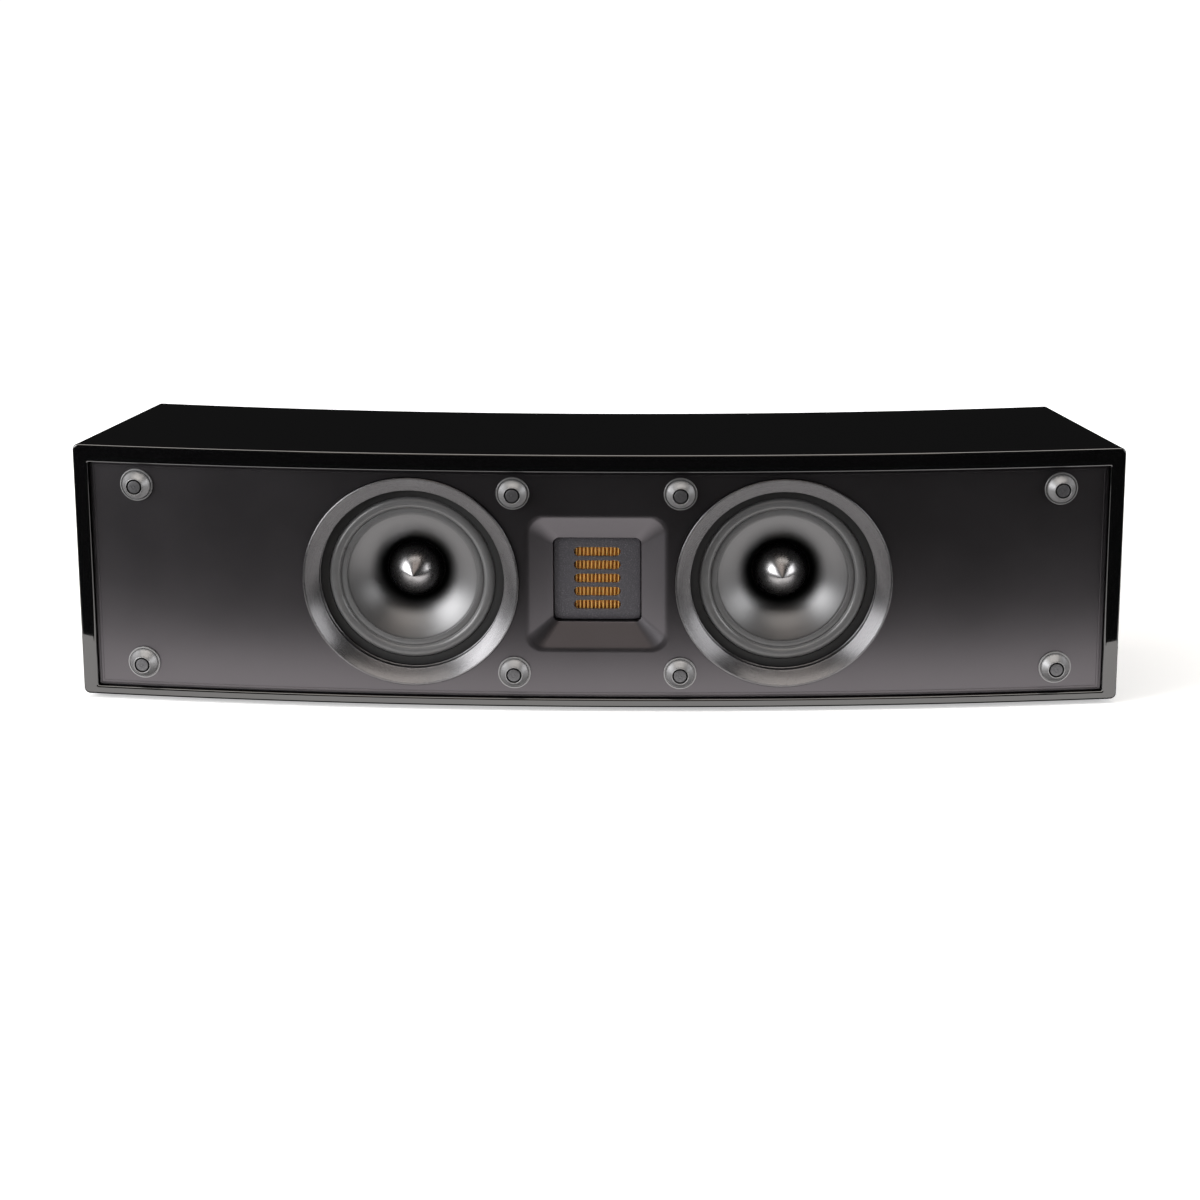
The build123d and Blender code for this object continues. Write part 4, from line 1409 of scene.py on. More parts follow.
    def build_plate(self) -> Piece:
        """Plate from its three zones, drawn out to the ends and edged all round.

        Returns:
            The finished plate.
        """
        zones = [self.woofer_zone(Side.LEFT), self.tweeter_zone(), self.woofer_zone(Side.RIGHT)]
        plate = Bench.join("baffle_plate_satin", zones)
        Bench.weld(plate)
        end, corner = self.end, self.hem
        columns = math.ceil((end - corner - self.zone_outer) / self.end_step)
        stops = [self.zone_outer + (end - corner - self.zone_outer) * k / columns for k in range(columns + 1)]
        stops.append(end)
        for here, there in zip(stops, stops[1:]):
            self.draw_out(plate, here, there)
        self.edge(plate)
        Bench.weld(plate, 0.05)
        Bench.warp(plate, self.layout.face.lay)
        return self.settle(plate, "baffle_satin", ROOT_BODY, "baffle_plate", angle=24.0, weighted=True)

    def edge(self, plate: Piece) -> None:
        """Draw the face out over two fine grooves and a land to its edge, then down to the back.

        Args:
            plate: The flat plate.
        """
        end, half, mid = self.end, self.field_h, self.layout.plate_z
        steps = [*self.grooves, (self.land, 0.0), (self.land + self.bevel, -self.bevel)]
        steps.append((self.land + self.bevel, -self.thickness))
        done, level = 0.0, 0.0
        for reach, height in steps:

            def moved(point: Vector, was: float = done, to: float = reach, out: float = height) -> Vector:
                """Push a point of the border to the next step.

                Args:
                    point: The point.
                    was: Reach so far.
                    to: Next reach.
                    out: Next height.

                Returns:
                    Its next place.
                """
                place = Vector((point.x, out, point.z))
                if abs(point.x) > end + was - NEAR:
                    place.x = math.copysign(end + to, point.x)
                if abs(point.z - mid) > half + was - NEAR:
                    place.z = mid + math.copysign(half + to, point.z - mid)
                return place

            Bench.extrude_border(plate, lambda point, here=level: abs(point.y - here) < NEAR, moved)
            done, level = reach, height

    def draw_out(self, plate: Piece, here: float, there: float) -> None:
        """Extrude the plate's two open ends one step outwards.

        Args:
            plate: The flat plate.
            here: Where the ends are.
            there: Where they go.
        """
        last = abs(there - self.end) < 1e-6

        def moved(point: Vector) -> Vector:
            """Push a point of an end outwards."""
            reach = there + (self.bevel + self.land if last and point.y < -self.bevel else 0.0)
            return Vector((math.copysign(reach, point.x), point.y, point.z))

        Bench.extrude_border(plate, lambda point: abs(abs(point.x) - here) < NEAR, moved)

    def build_posts(self) -> list[Piece]:
        """Eight turned grille posts, each with its magnet: one of each turned and the rest copied.

        Returns:
            The posts and the magnets.
        """
        post = Bench.turned("grille_post", self.post_profile(), 64)
        Bench.weld(post)
        magnet = Bench.turned("grille_magnet", self.magnet_profile(), 48)
        Bench.weld(magnet)
        seats = []
        for x in (-self.post_x[1], -self.post_x[0], self.post_x[0], self.post_x[1]):
            for rise in (-self.post_z, self.post_z):
                seats.append(self.layout.face.seat(x, self.layout.mid_z + rise))
        made = self.repeat(post, "post_aluminium", "grille_posts", seats)
        return made + self.repeat(magnet, "magnet_face", "grille_magnets", seats)

    @staticmethod
    def post_profile() -> Profile:
        """Half-section of a grille post: thin flange, tapered flank and the rim of its pocket.

        Returns:
            The profile.
        """
        base, rim, flange, height, top, pocket, deep = 10.75, 0.8, 1.2, 7.0, 5.7, 5.1, 4.0
        spigot_r, spigot_len, edge, groove = 4.0, 3.0, 0.3, 0.6
        profile = [(0.0, -spigot_len), (spigot_r, -spigot_len), (spigot_r, 0.0), (base, 0.0)]
        profile += arc((base - edge, flange - edge), edge, 0.0, 90.0, 3)
        profile += [(base - rim, flange), (base - rim - 0.1, flange - groove), (base - rim - 0.5, flange - groove)]
        foot, rise = base - rim - 0.4, height - edge - flange
        for k in range(1, 9):
            share = k / 8
            bow = 0.1 * math.sin(math.pi * share)
            profile.append((foot + (top - base + rim + 0.4) * share - bow, flange + rise * share))
        profile += arc((top - edge, height - edge), edge, 30.0, 90.0, 3)
        profile += [(pocket + 0.15, height), (pocket, height - 0.15), (pocket, deep), (0.0, deep)]
        return profile

    @staticmethod
    def magnet_profile() -> Profile:
        """Half-section of a grille magnet, with a small centre mark.

        Returns:
            The profile.
        """
        radius, low, high = 4.1, 4.0, 7.0
        profile = [(0.0, low), (radius, low)]
        profile += arc((radius - 0.35, high - 0.45), 0.35, 0.0, 90.0, 4)
        profile += [(1.5, high - 0.1), (1.4, high - 0.25), (0.9, high - 0.25), (0.75, high - 0.05), (0.0, high)]
        return profile


@dataclass
class Woofer(Assembly):
    """One woofer's visible pieces, turned about its own axis. Heights are outwards from the plate's face."""

    side: Side
    axis_x: float = 121.0
    ring_r: float = 70.4
    ring_bore_r: float = 60.5
    ring_proud: float = 1.4
    ring_dish: float = 5.1
    ring_edge: float = 0.4
    ring_land: float = 5.9
    ring_web: float = 1.0
    ring_sink: float = 1.3
    spigot_r: float = 68.2
    flange: float = -11.5
    roll_out_r: float = 54.2
    roll_in_r: float = 47.3
    rubber: float = 0.8
    lip_out: float = 2.8
    lip_in: float = 4.3
    cone_depth: float = 20.5
    cone_t: float = 0.6
    cone_bow: float = 2.6
    cone_flat: float = 4.5
    collar: float = 1.4
    former_r: float = 19.0
    plug_r: float = 18.2
    plug_tip: float = -12.0
    plug_nose: float = 24.5
    plug_point: float = 8.6
    plug_foot: float = -46.0
    plug_share: float = 0.985
    sectors: int = 24

    @property
    def seat(self) -> Matrix:
        """Frame on the woofer's axis at the plate's face."""
        return self.layout.face.seat(self.side.value * self.axis_x, self.layout.mid_z)

    @property
    def ring_low(self) -> float:
        """Lower edge of the trim ring's inner wall."""
        return self.ring_proud - self.ring_dish - self.ring_edge - self.ring_land

    def finish(self, piece: Piece, slot: str, body: str, node: str) -> Piece:
        """Weld one turned piece and settle it on the woofer's axis."""
        Bench.weld(piece)
        return self.settle(piece, slot, body, node, self.seat, 32.0)

    def build_ring(self) -> Piece:
        """Trim ring: dished face between a proud rim and a short inner wall.

        Returns:
            The finished ring.
        """
        top, low, edge = self.ring_proud, self.ring_proud - self.ring_dish, self.ring_edge
        rim_out, rim_in, rim_drop, lip, lip_low, wall = 1.3, 1.5, 0.12, 0.25, 4.3, 1.7
        profile = [(self.ring_r, -self.ring_sink)]
        profile += arc((self.ring_r - edge, top - edge), edge, 0.0, 90.0, 4)
        profile += [(self.ring_r - rim_out, top), (self.ring_r - rim_in, top - rim_drop)]
        profile += arc((self.ring_bore_r + edge, low - edge), edge, 90.0, 180.0, 4)
        step, under = low - edge - lip_low, low - edge - self.ring_web
        profile += [(self.ring_bore_r, step), (self.ring_bore_r - lip, step - lip)]
        profile += [(self.ring_bore_r - lip, self.ring_low), (self.ring_bore_r + wall, self.ring_low)]
        profile += [(self.ring_bore_r + wall, under), (self.spigot_r, under), (self.spigot_r, -self.ring_sink)]
        ring = Bench.turned(f"trim_ring_{self.side.word}_brushed", profile, 160)
        return self.finish(ring, "ring_brushed", ROOT_BODY, f"trim_ring_{self.side.word}")

    def build_gasket(self) -> Piece:
        """Foam gasket between the trim ring and the surround.

        Returns:
            The finished gasket.
        """
        gap, top, inner, outer = 0.3, self.ring_low - 0.05, self.roll_out_r, self.ring_bore_r
        profile = [(inner + gap, self.flange + self.rubber)]
        round_in, round_out = 0.5, 0.4
        profile += arc((inner + gap + round_in, top - round_in), round_in, 180.0, 90.0, 4)
        profile += arc((outer - gap - round_out, top - round_out), round_out, 90.0, 0.0, 4)
        profile += [(outer - gap, self.flange), (inner + self.lip_out + gap, self.flange)]
        profile += [(inner + self.lip_out + gap, self.flange + self.rubber)]
        gasket = Bench.turned(f"gasket_{self.side.word}_foam", profile, 128)
        return self.finish(gasket, "gasket_foam", ROOT_BODY, f"gasket_{self.side.word}")

    def surround_profile(self) -> Profile:
        """Half-section of the rubber surround: lip, half roll, groove and crowned lip.

        Returns:
            The profile.
        """
        mid = (self.roll_out_r + self.roll_in_r) / 2
        half = (self.roll_out_r - self.roll_in_r) / 2
        low, top = self.flange, self.flange + self.rubber
        rise = half - self.rubber
        inner_lip = self.roll_in_r - self.lip_in
        profile = [(self.roll_out_r + self.lip_out, low), (self.roll_out_r + self.lip_out, top)]
        for k in range(17):
            turn = math.pi * k / 16
            profile.append((mid + half * math.cos(turn), top + rise * math.sin(turn)))
        groove, deep, crown, lip_r = self.roll_in_r - 0.9, 0.3, 0.22, 0.35
        profile += [(self.roll_in_r - 0.25, top - deep), (self.roll_in_r - 0.65, top - deep), (groove, top)]
        for k in range(1, 6):
            share = k / 6
            rounded = crown * math.sin(math.pi * share)
            profile.append((groove + (inner_lip + lip_r - groove) * share, top + rounded))
        profile += arc((inner_lip + lip_r, top - lip_r), lip_r, 90.0, 180.0, 3)
        profile += [(inner_lip, low)]
        bore = half - self.rubber
        for k in range(13):
            turn = math.pi * (1.0 - k / 12)
            profile.append((mid + bore * math.cos(turn), low + (rise - 0.1) * math.sin(turn)))
        return profile

    def build_surround(self) -> list[Piece]:
        """Surround in sectors, each shaded with the whole ring's normals.

        Returns:
            The sectors.
        """
        profile = self.surround_profile()
        whole = Bench.turned("surround_whole", profile, 144)
        Bench.weld(whole)
        whole.data.transform(self.seat)
        normals = {self.key(vert.co): vert.normal.copy() for vert in whole.data.vertices}
        sweep = 360.0 / self.sectors
        made = []
        for number in range(self.sectors):
            name = f"surround_{self.side.word}_{number + 1}"
            sector = Bench.turned(name, profile, 144 // self.sectors, sweep, number * sweep)
            Bench.close_end(sector)
            Bench.weld(sector)
            Bench.place(sector, self.seat)
            Bench.smooth(sector, 80.0)
            self.take_normals(sector, normals)
            self.palette.dress(sector, "roll_rubber")
            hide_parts(f"surround_{self.side.word}")
            self.flex(sector)
            made.append(sector)
        bpy.data.objects.remove(whole)
        log.info("surround_%s bends between the basket and the cone, %d sectors", self.side.word, len(made))
        return made

    @staticmethod
    def key(point: Vector) -> tuple[int, int, int]:
        """Place of a point, rounded for looking it up."""
        return tuple(round(part / MM * 50) for part in point)

    @classmethod
    def take_normals(cls, sector: Piece, normals: dict) -> None:
        """Give a sector the whole ring's normals, so that no seam shows between sectors.

        Args:
            sector: The sector.
            normals: The ring's normals by place.
        """
        mesh = sector.data
        split = []
        for polygon in mesh.polygons:
            for index in polygon.vertices:
                whole = normals.get(cls.key(mesh.vertices[index].co), polygon.normal)
                split.append(whole if len(polygon.vertices) < 5 else polygon.normal)
        mesh.normals_split_custom_set(split)

    def flex(self, sector: Piece) -> None:
        """Find where a sector's spoke meets its outer and inner lips, which is not used further, and bake the sector's
        place into its mesh.

        Args:
            sector: The sector.
        """
        points = [self.seat.inverted() @ vert.co for vert in sector.data.vertices]
        middle = sum(points, Vector()) / len(points)
        spoke = Vector((middle.x, middle.y, 0.0)).normalized()
        edge = math.cos(math.pi / self.sectors)
        start = self.seat @ (spoke * self.roll_out_r * edge * MM + Vector((0, 0, self.flange * MM)))
        end = self.seat @ (spoke * self.roll_in_r * MM + Vector((0, 0, self.flange * MM)))
        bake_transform(sector)

    def build_cone(self) -> Piece:
        """Cone: flared metal dish with a flat rim and a collar on the coil former.

        Returns:
            The finished cone.
        """
        rim = self.roll_in_r - 0.2
        flat = rim - self.cone_flat
        neck = self.flange - self.cone_depth
        bow_r = (flat + self.former_r) / 2 - self.cone_bow * 0.66
        bow_w = (self.flange + neck) / 2 + self.cone_bow * 0.75
        mid_r, mid_w = 2.0 * bow_r - (flat + self.former_r) / 2, 2.0 * bow_w - (self.flange + neck) / 2
        steps = 28
        upper, under = [], []
        for k in range(steps + 1):
            share = k / steps
            radius = curve(flat, mid_r, self.former_r, share)
            height = curve(self.flange, mid_w, neck, share)
            upper.append((radius, height))
            under.append((radius + self.cone_t * share, height - self.cone_t))
        profile = [(rim, self.flange - self.cone_t), (rim, self.flange)] + upper
        profile += [(self.former_r, neck - self.collar), (self.former_r + self.cone_t, neck - self.collar)]
        profile += under[::-1]
        cone = Bench.turned(f"cone_{self.side.word}_spun", profile, 160)
        return self.finish(cone, "cone_metal", f"cone_{self.side.word}", f"cone_{self.side.word}")

    def build_plug(self) -> Piece:
        """Phase plug: polished bullet with a pointed nose.

        Returns:
            The finished plug.
        """
        base = self.plug_tip - self.plug_nose
        shoulder = self.plug_tip - self.plug_point
        profile = [(0.0, self.plug_foot), (self.plug_r, self.plug_foot)]
        for k in range(33):
            share = self.plug_share * k / 32
            radius = self.plug_r * (1.0 - share**2)
            profile.append((radius, curve(base, shoulder, self.plug_tip, share)))
        profile.append((0.0, self.plug_tip - 0.06))
        plug = Bench.turned(f"phase_plug_{self.side.word}_polished", profile, 128)
        return self.finish(plug, "plug_black_chrome", ROOT_BODY, f"phase_plug_{self.side.word}")


@dataclass
class Tweeter(Assembly):
    """Slotted plate and pleated film in the throat of the recess. Heights are outwards from the plate's face."""

    half_w: float = 28.15
    half_h: float = 27.9
    corner_r: float = 2.9
    face: float = -12.5
    land_back: float = -16.0
    flange_half: float = 38.0
    flange_back: float = -19.0
    slots: int = 5
    slot_w: float = 30.4
    slot_h: float = 6.0
    slot_pitch: float = 9.0
    slot_edge: float = 0.5
    film_w: float = 32.5
    film_h: float = 46.0
    web: float = 1.6
    pleats: int = 13
    pleat_depth: float = 3.6
    film_t: float = 0.35
    film_gap: float = 0.2

    @property
    def seat(self) -> Matrix:
        """Frame in the middle of the plate's face."""
        return self.layout.face.seat(0.0, self.layout.mid_z)

    def build_plate(self) -> Piece:
        """Slotted plate: five slot zones over the film's pocket, rounded land and a flange behind.

        Returns:
            The finished plate.
        """
        zones = [self.slot_zone(row) for row in range(self.slots)]
        plate = Bench.join("tweeter_plate_slotted", zones)
        Bench.weld(plate)
        self.round_land(plate)
        return self.settle(plate, "slotted_plate", ROOT_BODY, "tweeter_front_plate", self.seat, weighted=True)

    @property
    def pocket(self) -> tuple[float, float]:
        """Half width and half height of the film's pocket."""
        return self.film_w / 2 + self.film_gap, self.film_h / 2 + self.film_gap

    def slot_zone(self, row: int) -> Piece:
        """One slot with its rounded edge, through the thin web to the film's pocket.

        Args:
            row: The slot's number, from below.

        Returns:
            The zone.
        """
        stations = Stations(even(24), even(12), 4)
        middle = (row - (self.slots - 1) / 2) * self.slot_pitch
        first, last = row == 0, row == self.slots - 1

        def stadium(grow: float, height: float) -> Loop:
            """Outline of the slot."""
            half = self.slot_h / 2 + grow
            outline = stations.rounded(0.0, middle, self.slot_w / 2 + grow, half, half - 0.02)
            return [(x, y, height) for x, y in outline]

        def border(half_w: float, half_h: float, height: float) -> Loop:
            """Outline of the slot's zone."""
            low = -half_h if first else middle - self.slot_pitch / 2
            high = half_h if last else middle + self.slot_pitch / 2
            return [(x, y, height) for x, y in stations.rectangle(-half_w, half_w, low, high)]

        edge = self.slot_edge
        loops = [border(self.half_w - self.corner_r, self.half_h - self.corner_r, self.face)]
        for grow, height in arc((edge, self.face - edge), edge, 90.0, 180.0, 3):
            loops.append(stadium(grow, height))
        loops += [stadium(0.0, self.face - self.web), border(*self.pocket, self.face - self.web)]
        return Bench.skin(f"slot_zone_{row + 1}", loops)

    def round_land(self, plate: Piece) -> None:
        """Draw the land's border out, down its wall and over the flange, and close the pocket's back to it.

        Args:
            plate: The joined slot zones.
        """
        inner_w, inner_h = self.half_w - self.corner_r, self.half_h - self.corner_r

        def outward(point: Vector, reach: float) -> Vector:
            """Move a point away from the inner rectangle.

            Args:
                point: The point.
                reach: How far.

            Returns:
                Its new place.
            """
            x = max(-inner_w, min(inner_w, point.x))
            y = max(-inner_h, min(inner_h, point.y))
            corner = abs(point.x) > inner_w - NEAR and abs(point.y) > inner_h - NEAR
            if corner:
                lean = Vector((math.copysign(1.0, point.x), math.copysign(1.0, point.y), 0.0)).normalized()
            elif abs(point.x) > inner_w - NEAR:
                lean = Vector((math.copysign(1.0, point.x), 0.0, 0.0))
            else:
                lean = Vector((0.0, math.copysign(1.0, point.y), 0.0))
            return Vector((x, y, 0.0)) + lean * reach

        rounding = 0.5
        steps = [(self.corner_r - rounding, self.face), (self.corner_r - 0.15, self.face - 0.15)]
        steps += [(self.corner_r, self.face - rounding), (self.corner_r, self.land_back)]
        reach_flange = self.flange_half - inner_w
        steps += [(reach_flange, self.land_back), (reach_flange, self.flange_back)]
        level = self.face
        for reach, height in steps:
            Bench.extrude_border(
                plate,
                lambda point, here=level: abs(point.z - here) < NEAR,
                lambda point, out=reach, to=height: Vector((*outward(point, out).xy, to)),
            )
            level = height
        Bench.extrude_border(
            plate,
            lambda point: abs(point.z - self.face + self.web) < NEAR,
            lambda point: Vector((point.x, point.y, self.flange_back)),
        )
        pocket_w, pocket_h = self.pocket
        limit = (self.slots / 2 - 1.0) * self.slot_pitch

        def spread(point: Vector) -> Vector:
            """Move a point of the pocket's rim out to the flange's.

            Args:
                point: The point.

            Returns:
                Its new place.
            """
            y = point.y
            if abs(y) > limit:
                y = math.copysign(limit + (abs(y) - limit) * (inner_h - limit) / (pocket_h - limit), y)
            flat = outward(Vector((point.x * inner_w / pocket_w, y, 0.0)), reach_flange)
            return Vector((*flat.xy, self.flange_back))

        def in_pocket(point: Vector) -> bool:
            """Whether a point is on the pocket's rear rim."""
            inside = abs(point.x) < pocket_w + 0.1 and abs(point.y) < pocket_h + 0.1
            return inside and abs(point.z - self.flange_back) < NEAR

        Bench.extrude_border(plate, in_pocket, spread)
        Bench.weld(plate, 0.02)

    def build_film(self) -> Piece:
        """Pleated film, folded along the plate's width and as tall as the row of slots.

        Returns:
            The finished film.
        """
        top = self.face - self.web - self.film_gap
        steps = 10 * self.pleats
        front = []
        for k in range(steps + 1):
            x = -self.film_w / 2 + self.film_w * k / steps
            wave = 0.5 - 0.5 * math.cos(2.0 * math.pi * self.pleats * k / steps)
            fold = 0.5 - 0.5 * math.copysign(abs(math.cos(math.pi * wave)) ** 0.7, math.cos(math.pi * wave))
            front.append((x, top - self.film_t / 2 - (self.pleat_depth - self.film_t) * fold))
        outline = front + [(x, w - self.film_t) for x, w in reversed(front)]
        loops = [[(x, y, w) for x, w in outline] for y in (-self.film_h / 2, self.film_h / 2)]
        film = Bench.skin("tweeter_film_pleated", loops)
        Bench.close_end(film)
        Bench.weld(film)
        return self.settle(film, "film_gold", ROOT_BODY, "tweeter_film", self.seat, 40.0)


@dataclass
class Back(Assembly):
    """Rear panel with the terminal plate and its two binding posts. Heights are backwards from the panel."""

    panel_t: float = 12.0
    panel_gap: float = 7.2
    cabinet_h: float = 171.0
    plate_w: float = 92.0
    plate_h: float = 62.0
    plate_t: float = 4.0
    plate_r: float = 5.0
    seat_gap: float = 0.2
    window_w: float = 66.0
    window_h: float = 36.0
    screw_in: float = 6.0
    stud_pitch: float = 19.0
    stud_r: float = 3.0
    stud_out: float = 17.0
    stud_in: float = 22.0
    banana_r: float = 2.05
    banana_deep: float = 13.0
    collar_r: float = 8.0
    collar_t: float = 3.0
    nut_r: float = 7.5
    nut_len: float = 11.0
    nut_gap: float = 0.2
    insert_r: float = 4.75
    insert_len: float = 9.0
    flutes: int = 12
    flute_r: float = 1.0

    @property
    def plate_face(self) -> float:
        """Height of the terminal plate's face over the panel's middle."""
        return self.plate_t - self.layout.terminal_sink

    def build_panel(self) -> Piece:
        """Bowed panel with a flat seat and a window for the terminals.

        Returns:
            The finished panel.
        """
        stations = Stations(even(24), even(16), 4)
        low = self.layout.base_z + self.panel_gap
        high = self.layout.base_z + self.cabinet_h - self.panel_gap
        mid, reach = self.layout.mid_z, 60.0
        _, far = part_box("rear_panel")
        end = self.layout.back.along(far[0] / MM)

        def border(height: float) -> Loop:
            """Outline of the panel's middle part."""
            return [(x, height, z) for x, z in stations.rectangle(-reach, reach, low, high)]

        def window(half_w: float, half_h: float, corner: float, height: float) -> Loop:
            """Outline of the seat or the window.

            Args:
                half_w: Half its width.
                half_h: Half its height.
                corner: Corner radius.
                height: Its height.

            Returns:
                The outline's points.
            """
            outline = stations.rounded(0.0, mid, half_w, half_h, corner)
            if height in (0.0, -self.panel_t):
                return [(x, height, z) for x, z in outline]
            return [(x, height - sag(self.layout.rear_radius, x), z) for x, z in outline]

        seat = (self.plate_w / 2 + self.seat_gap, self.plate_h / 2 + self.seat_gap, self.plate_r + self.seat_gap)
        inner = (self.window_w / 2, self.window_h / 2, self.plate_r)
        sink = -self.layout.terminal_sink
        loops = [border(0.0), window(*seat, 0.0), window(*seat, sink), window(*inner, sink)]
        loops += [window(*inner, -self.panel_t), border(-self.panel_t)]
        panel = Bench.skin("rear_panel_painted", loops)
        Bench.weld(panel)
        columns = 24
        stops = [reach + (end - reach) * k / columns for k in range(columns + 1)]
        for here, there in zip(stops, stops[1:]):
            Bench.extrude_border(
                panel,
                lambda point, h=here: abs(abs(point.x) - h) < NEAR,
                lambda point, t=there: Vector((math.copysign(t, point.x), point.y, point.z)),
            )
        Bench.extrude_border(
            panel, lambda point: abs(point.y) < NEAR, lambda point: Vector((point.x, -self.panel_t, point.z))
        )
        Bench.weld(panel, 0.05)
        Bench.warp(panel, lambda point: self.layout.back.lay((point[0], -point[1], point[2])))
        Bench.weld(panel)
        return self.settle(panel, "rear_board", ROOT_BODY, "rear_panel", weighted=True)

    def build_terminal_plate(self) -> Piece:
        """Moulded terminal plate with a rounded edge.

        Returns:
            The finished plate.
        """
        stations = Stations(even(24), even(24), 6)
        low, high, edge = -self.layout.terminal_sink, self.plate_face, 1.0

        def outline(inset: float, height: float) -> Loop:
            """Outline of the plate with an inset."""
            sizes = (self.plate_w / 2 - inset, self.plate_h / 2 - inset, max(self.plate_r - inset, 0.3))
            return [(x, y, height) for x, y in stations.rounded(0.0, 0.0, *sizes)]

        middle = [(0.0, 0.0, low)] * stations.count
        loops = [middle, outline(0.0, low)]
        loops += [outline(inset, height) for inset, height in arc((edge, high - edge), edge, 180.0, 90.0, 4)]
        groove = ((2.6, 0.0), (2.9, 0.35), (3.5, 0.35), (3.8, 0.0))
        loops += [outline(inset, high - deep) for inset, deep in groove]
        loops.append([(0.0, 0.0, high)] * stations.count)
        plate = Bench.skin("terminal_plate_moulded", loops)
        Bench.weld(plate)
        seat = self.layout.rear_seat(0.0)
        return self.settle(plate, "black_plastic", ROOT_BODY, "terminal_plate", seat, weighted=True)

    def build_screws(self) -> list[Piece]:
        """Four screws with a hexagon socket: one modelled and three copied.

        Returns:
            The screws.
        """
        points, head_r, head_t, socket_r, deep, shank, length, edge = 48, 2.4, 1.5, 1.2, 0.9, 1.6, 8.0, 0.5
        base = self.plate_face

        def ring(radius: float, height: float) -> Loop:
            """Circle about the screw's axis."""
            turns = [2.0 * math.pi * k / points for k in range(points)]
            return [(radius * math.cos(t), radius * math.sin(t), height) for t in turns]

        def socket(height: float) -> Loop:
            """Hexagon of the socket.

            Args:
                height: Its height.

            Returns:
                The outline's points.
            """
            outline = []
            for k in range(points):
                turn = 2.0 * math.pi * k / points
                bend = (turn % (math.pi / 3)) - math.pi / 6
                reach = socket_r * math.cos(math.pi / 6) / math.cos(bend)
                outline.append((reach * math.cos(turn), reach * math.sin(turn), height))
            return outline

        loops = [ring(0.0, base - length), ring(shank, base - length), ring(shank, base), ring(head_r, base)]
        loops += [ring(r, w) for r, w in arc((head_r - edge, base + head_t - edge), edge, 0.0, 90.0, 4)]
        loops += [socket(base + head_t), socket(base + head_t - deep), ring(0.0, base + head_t - deep)]
        first = Bench.skin("terminal_screw", loops)
        Bench.weld(first)
        aside, up = self.plate_w / 2 - self.screw_in, self.plate_h / 2 - self.screw_in
        moves = [Vector((x, y, 0.0)) * MM for x in (-aside, aside) for y in (-up, up)]
        seats = [self.layout.rear_seat(0.0) @ Matrix.Translation(move) for move in moves]
        return self.repeat(first, "screw_black", "terminal_screws", seats)

    def build_post(self, colour: str, side: Side) -> list[Piece]:
        """One binding post: stud, collar, brass insert and fluted thumb nut.

        Args:
            colour: "red" or "black".
            side: Which side of the middle it stands on.

        Returns:
            The four pieces.
        """
        seat = self.layout.rear_seat(side.value * self.stud_pitch / 2)
        base = self.plate_face
        start = base + self.collar_t + self.nut_gap
        tip = base + self.stud_out
        root = -self.layout.terminal_sink - self.stud_in
        stud = [(0.0, root), (self.stud_r, root)]
        edge, lip, soft = 0.4, 0.3, 0.7
        stud += arc((self.stud_r - edge, tip - edge), edge, 0.0, 90.0, 3)
        stud += [(self.banana_r + lip, tip), (self.banana_r, tip - lip), (self.banana_r, tip - self.banana_deep)]
        stud += [(0.0, tip - self.banana_deep)]
        collar = [(self.stud_r, base), (self.collar_r, base)]
        collar += arc((self.collar_r - soft, base + self.collar_t - soft), soft, 0.0, 90.0, 4)
        collar += [(self.stud_r, base + self.collar_t)]
        bore, stop = self.stud_r + 0.08, start + self.insert_len
        insert = [(bore, start), (self.insert_r, start), (self.insert_r, stop), (bore, stop)]
        plastic = "red_plastic" if colour == "red" else "black_gloss_plastic"
        made = []
        for name, profile, slot, body, node in (
            (f"stud_{colour}", stud, "terminal_brass", ROOT_BODY, "binding_studs"),
            (f"collar_{colour}", collar, plastic, ROOT_BODY, f"post_collar_{colour}"),
            (f"insert_{colour}_brass", insert, "terminal_brass", f"insert_{colour}", f"nut_insert_{colour}"),
        ):
            piece = Bench.turned(name, profile, 64)
            Bench.weld(piece)
            made.append(self.settle(piece, slot, body, node, seat))
        made.append(self.build_nut(colour, plastic, seat, start))
        return made

    def build_nut(self, colour: str, plastic: str, seat: Matrix, start: float) -> Piece:
        """Fluted thumb nut with a domed end.

        Args:
            colour: Colour in its names.
            plastic: Its material slot.
            seat: Frame of the post.
            start: Height of its lower end.

        Returns:
            The finished nut.
        """
        points = self.flutes * 16
        end = start + self.nut_len

        def fluted(inset: float, height: float, fade: float) -> Loop:
            """Outline of the nut.

            Args:
                inset: Inset from its radius.
                height: Its height.
                fade: Share of the flutes' depth.

            Returns:
                The outline's points.
            """
            outline = []
            for k in range(points):
                turn = 2.0 * math.pi * k / points
                off = (turn * self.flutes / (2.0 * math.pi)) % 1.0
                arm = min(off, 1.0 - off) * 2.0 * math.pi / self.flutes * self.nut_r
                dip = math.sqrt(max(self.flute_r**2 - arm**2, 0.0)) * fade
                reach = self.nut_r - inset - dip
                outline.append((reach * math.cos(turn), reach * math.sin(turn), height))
            return outline

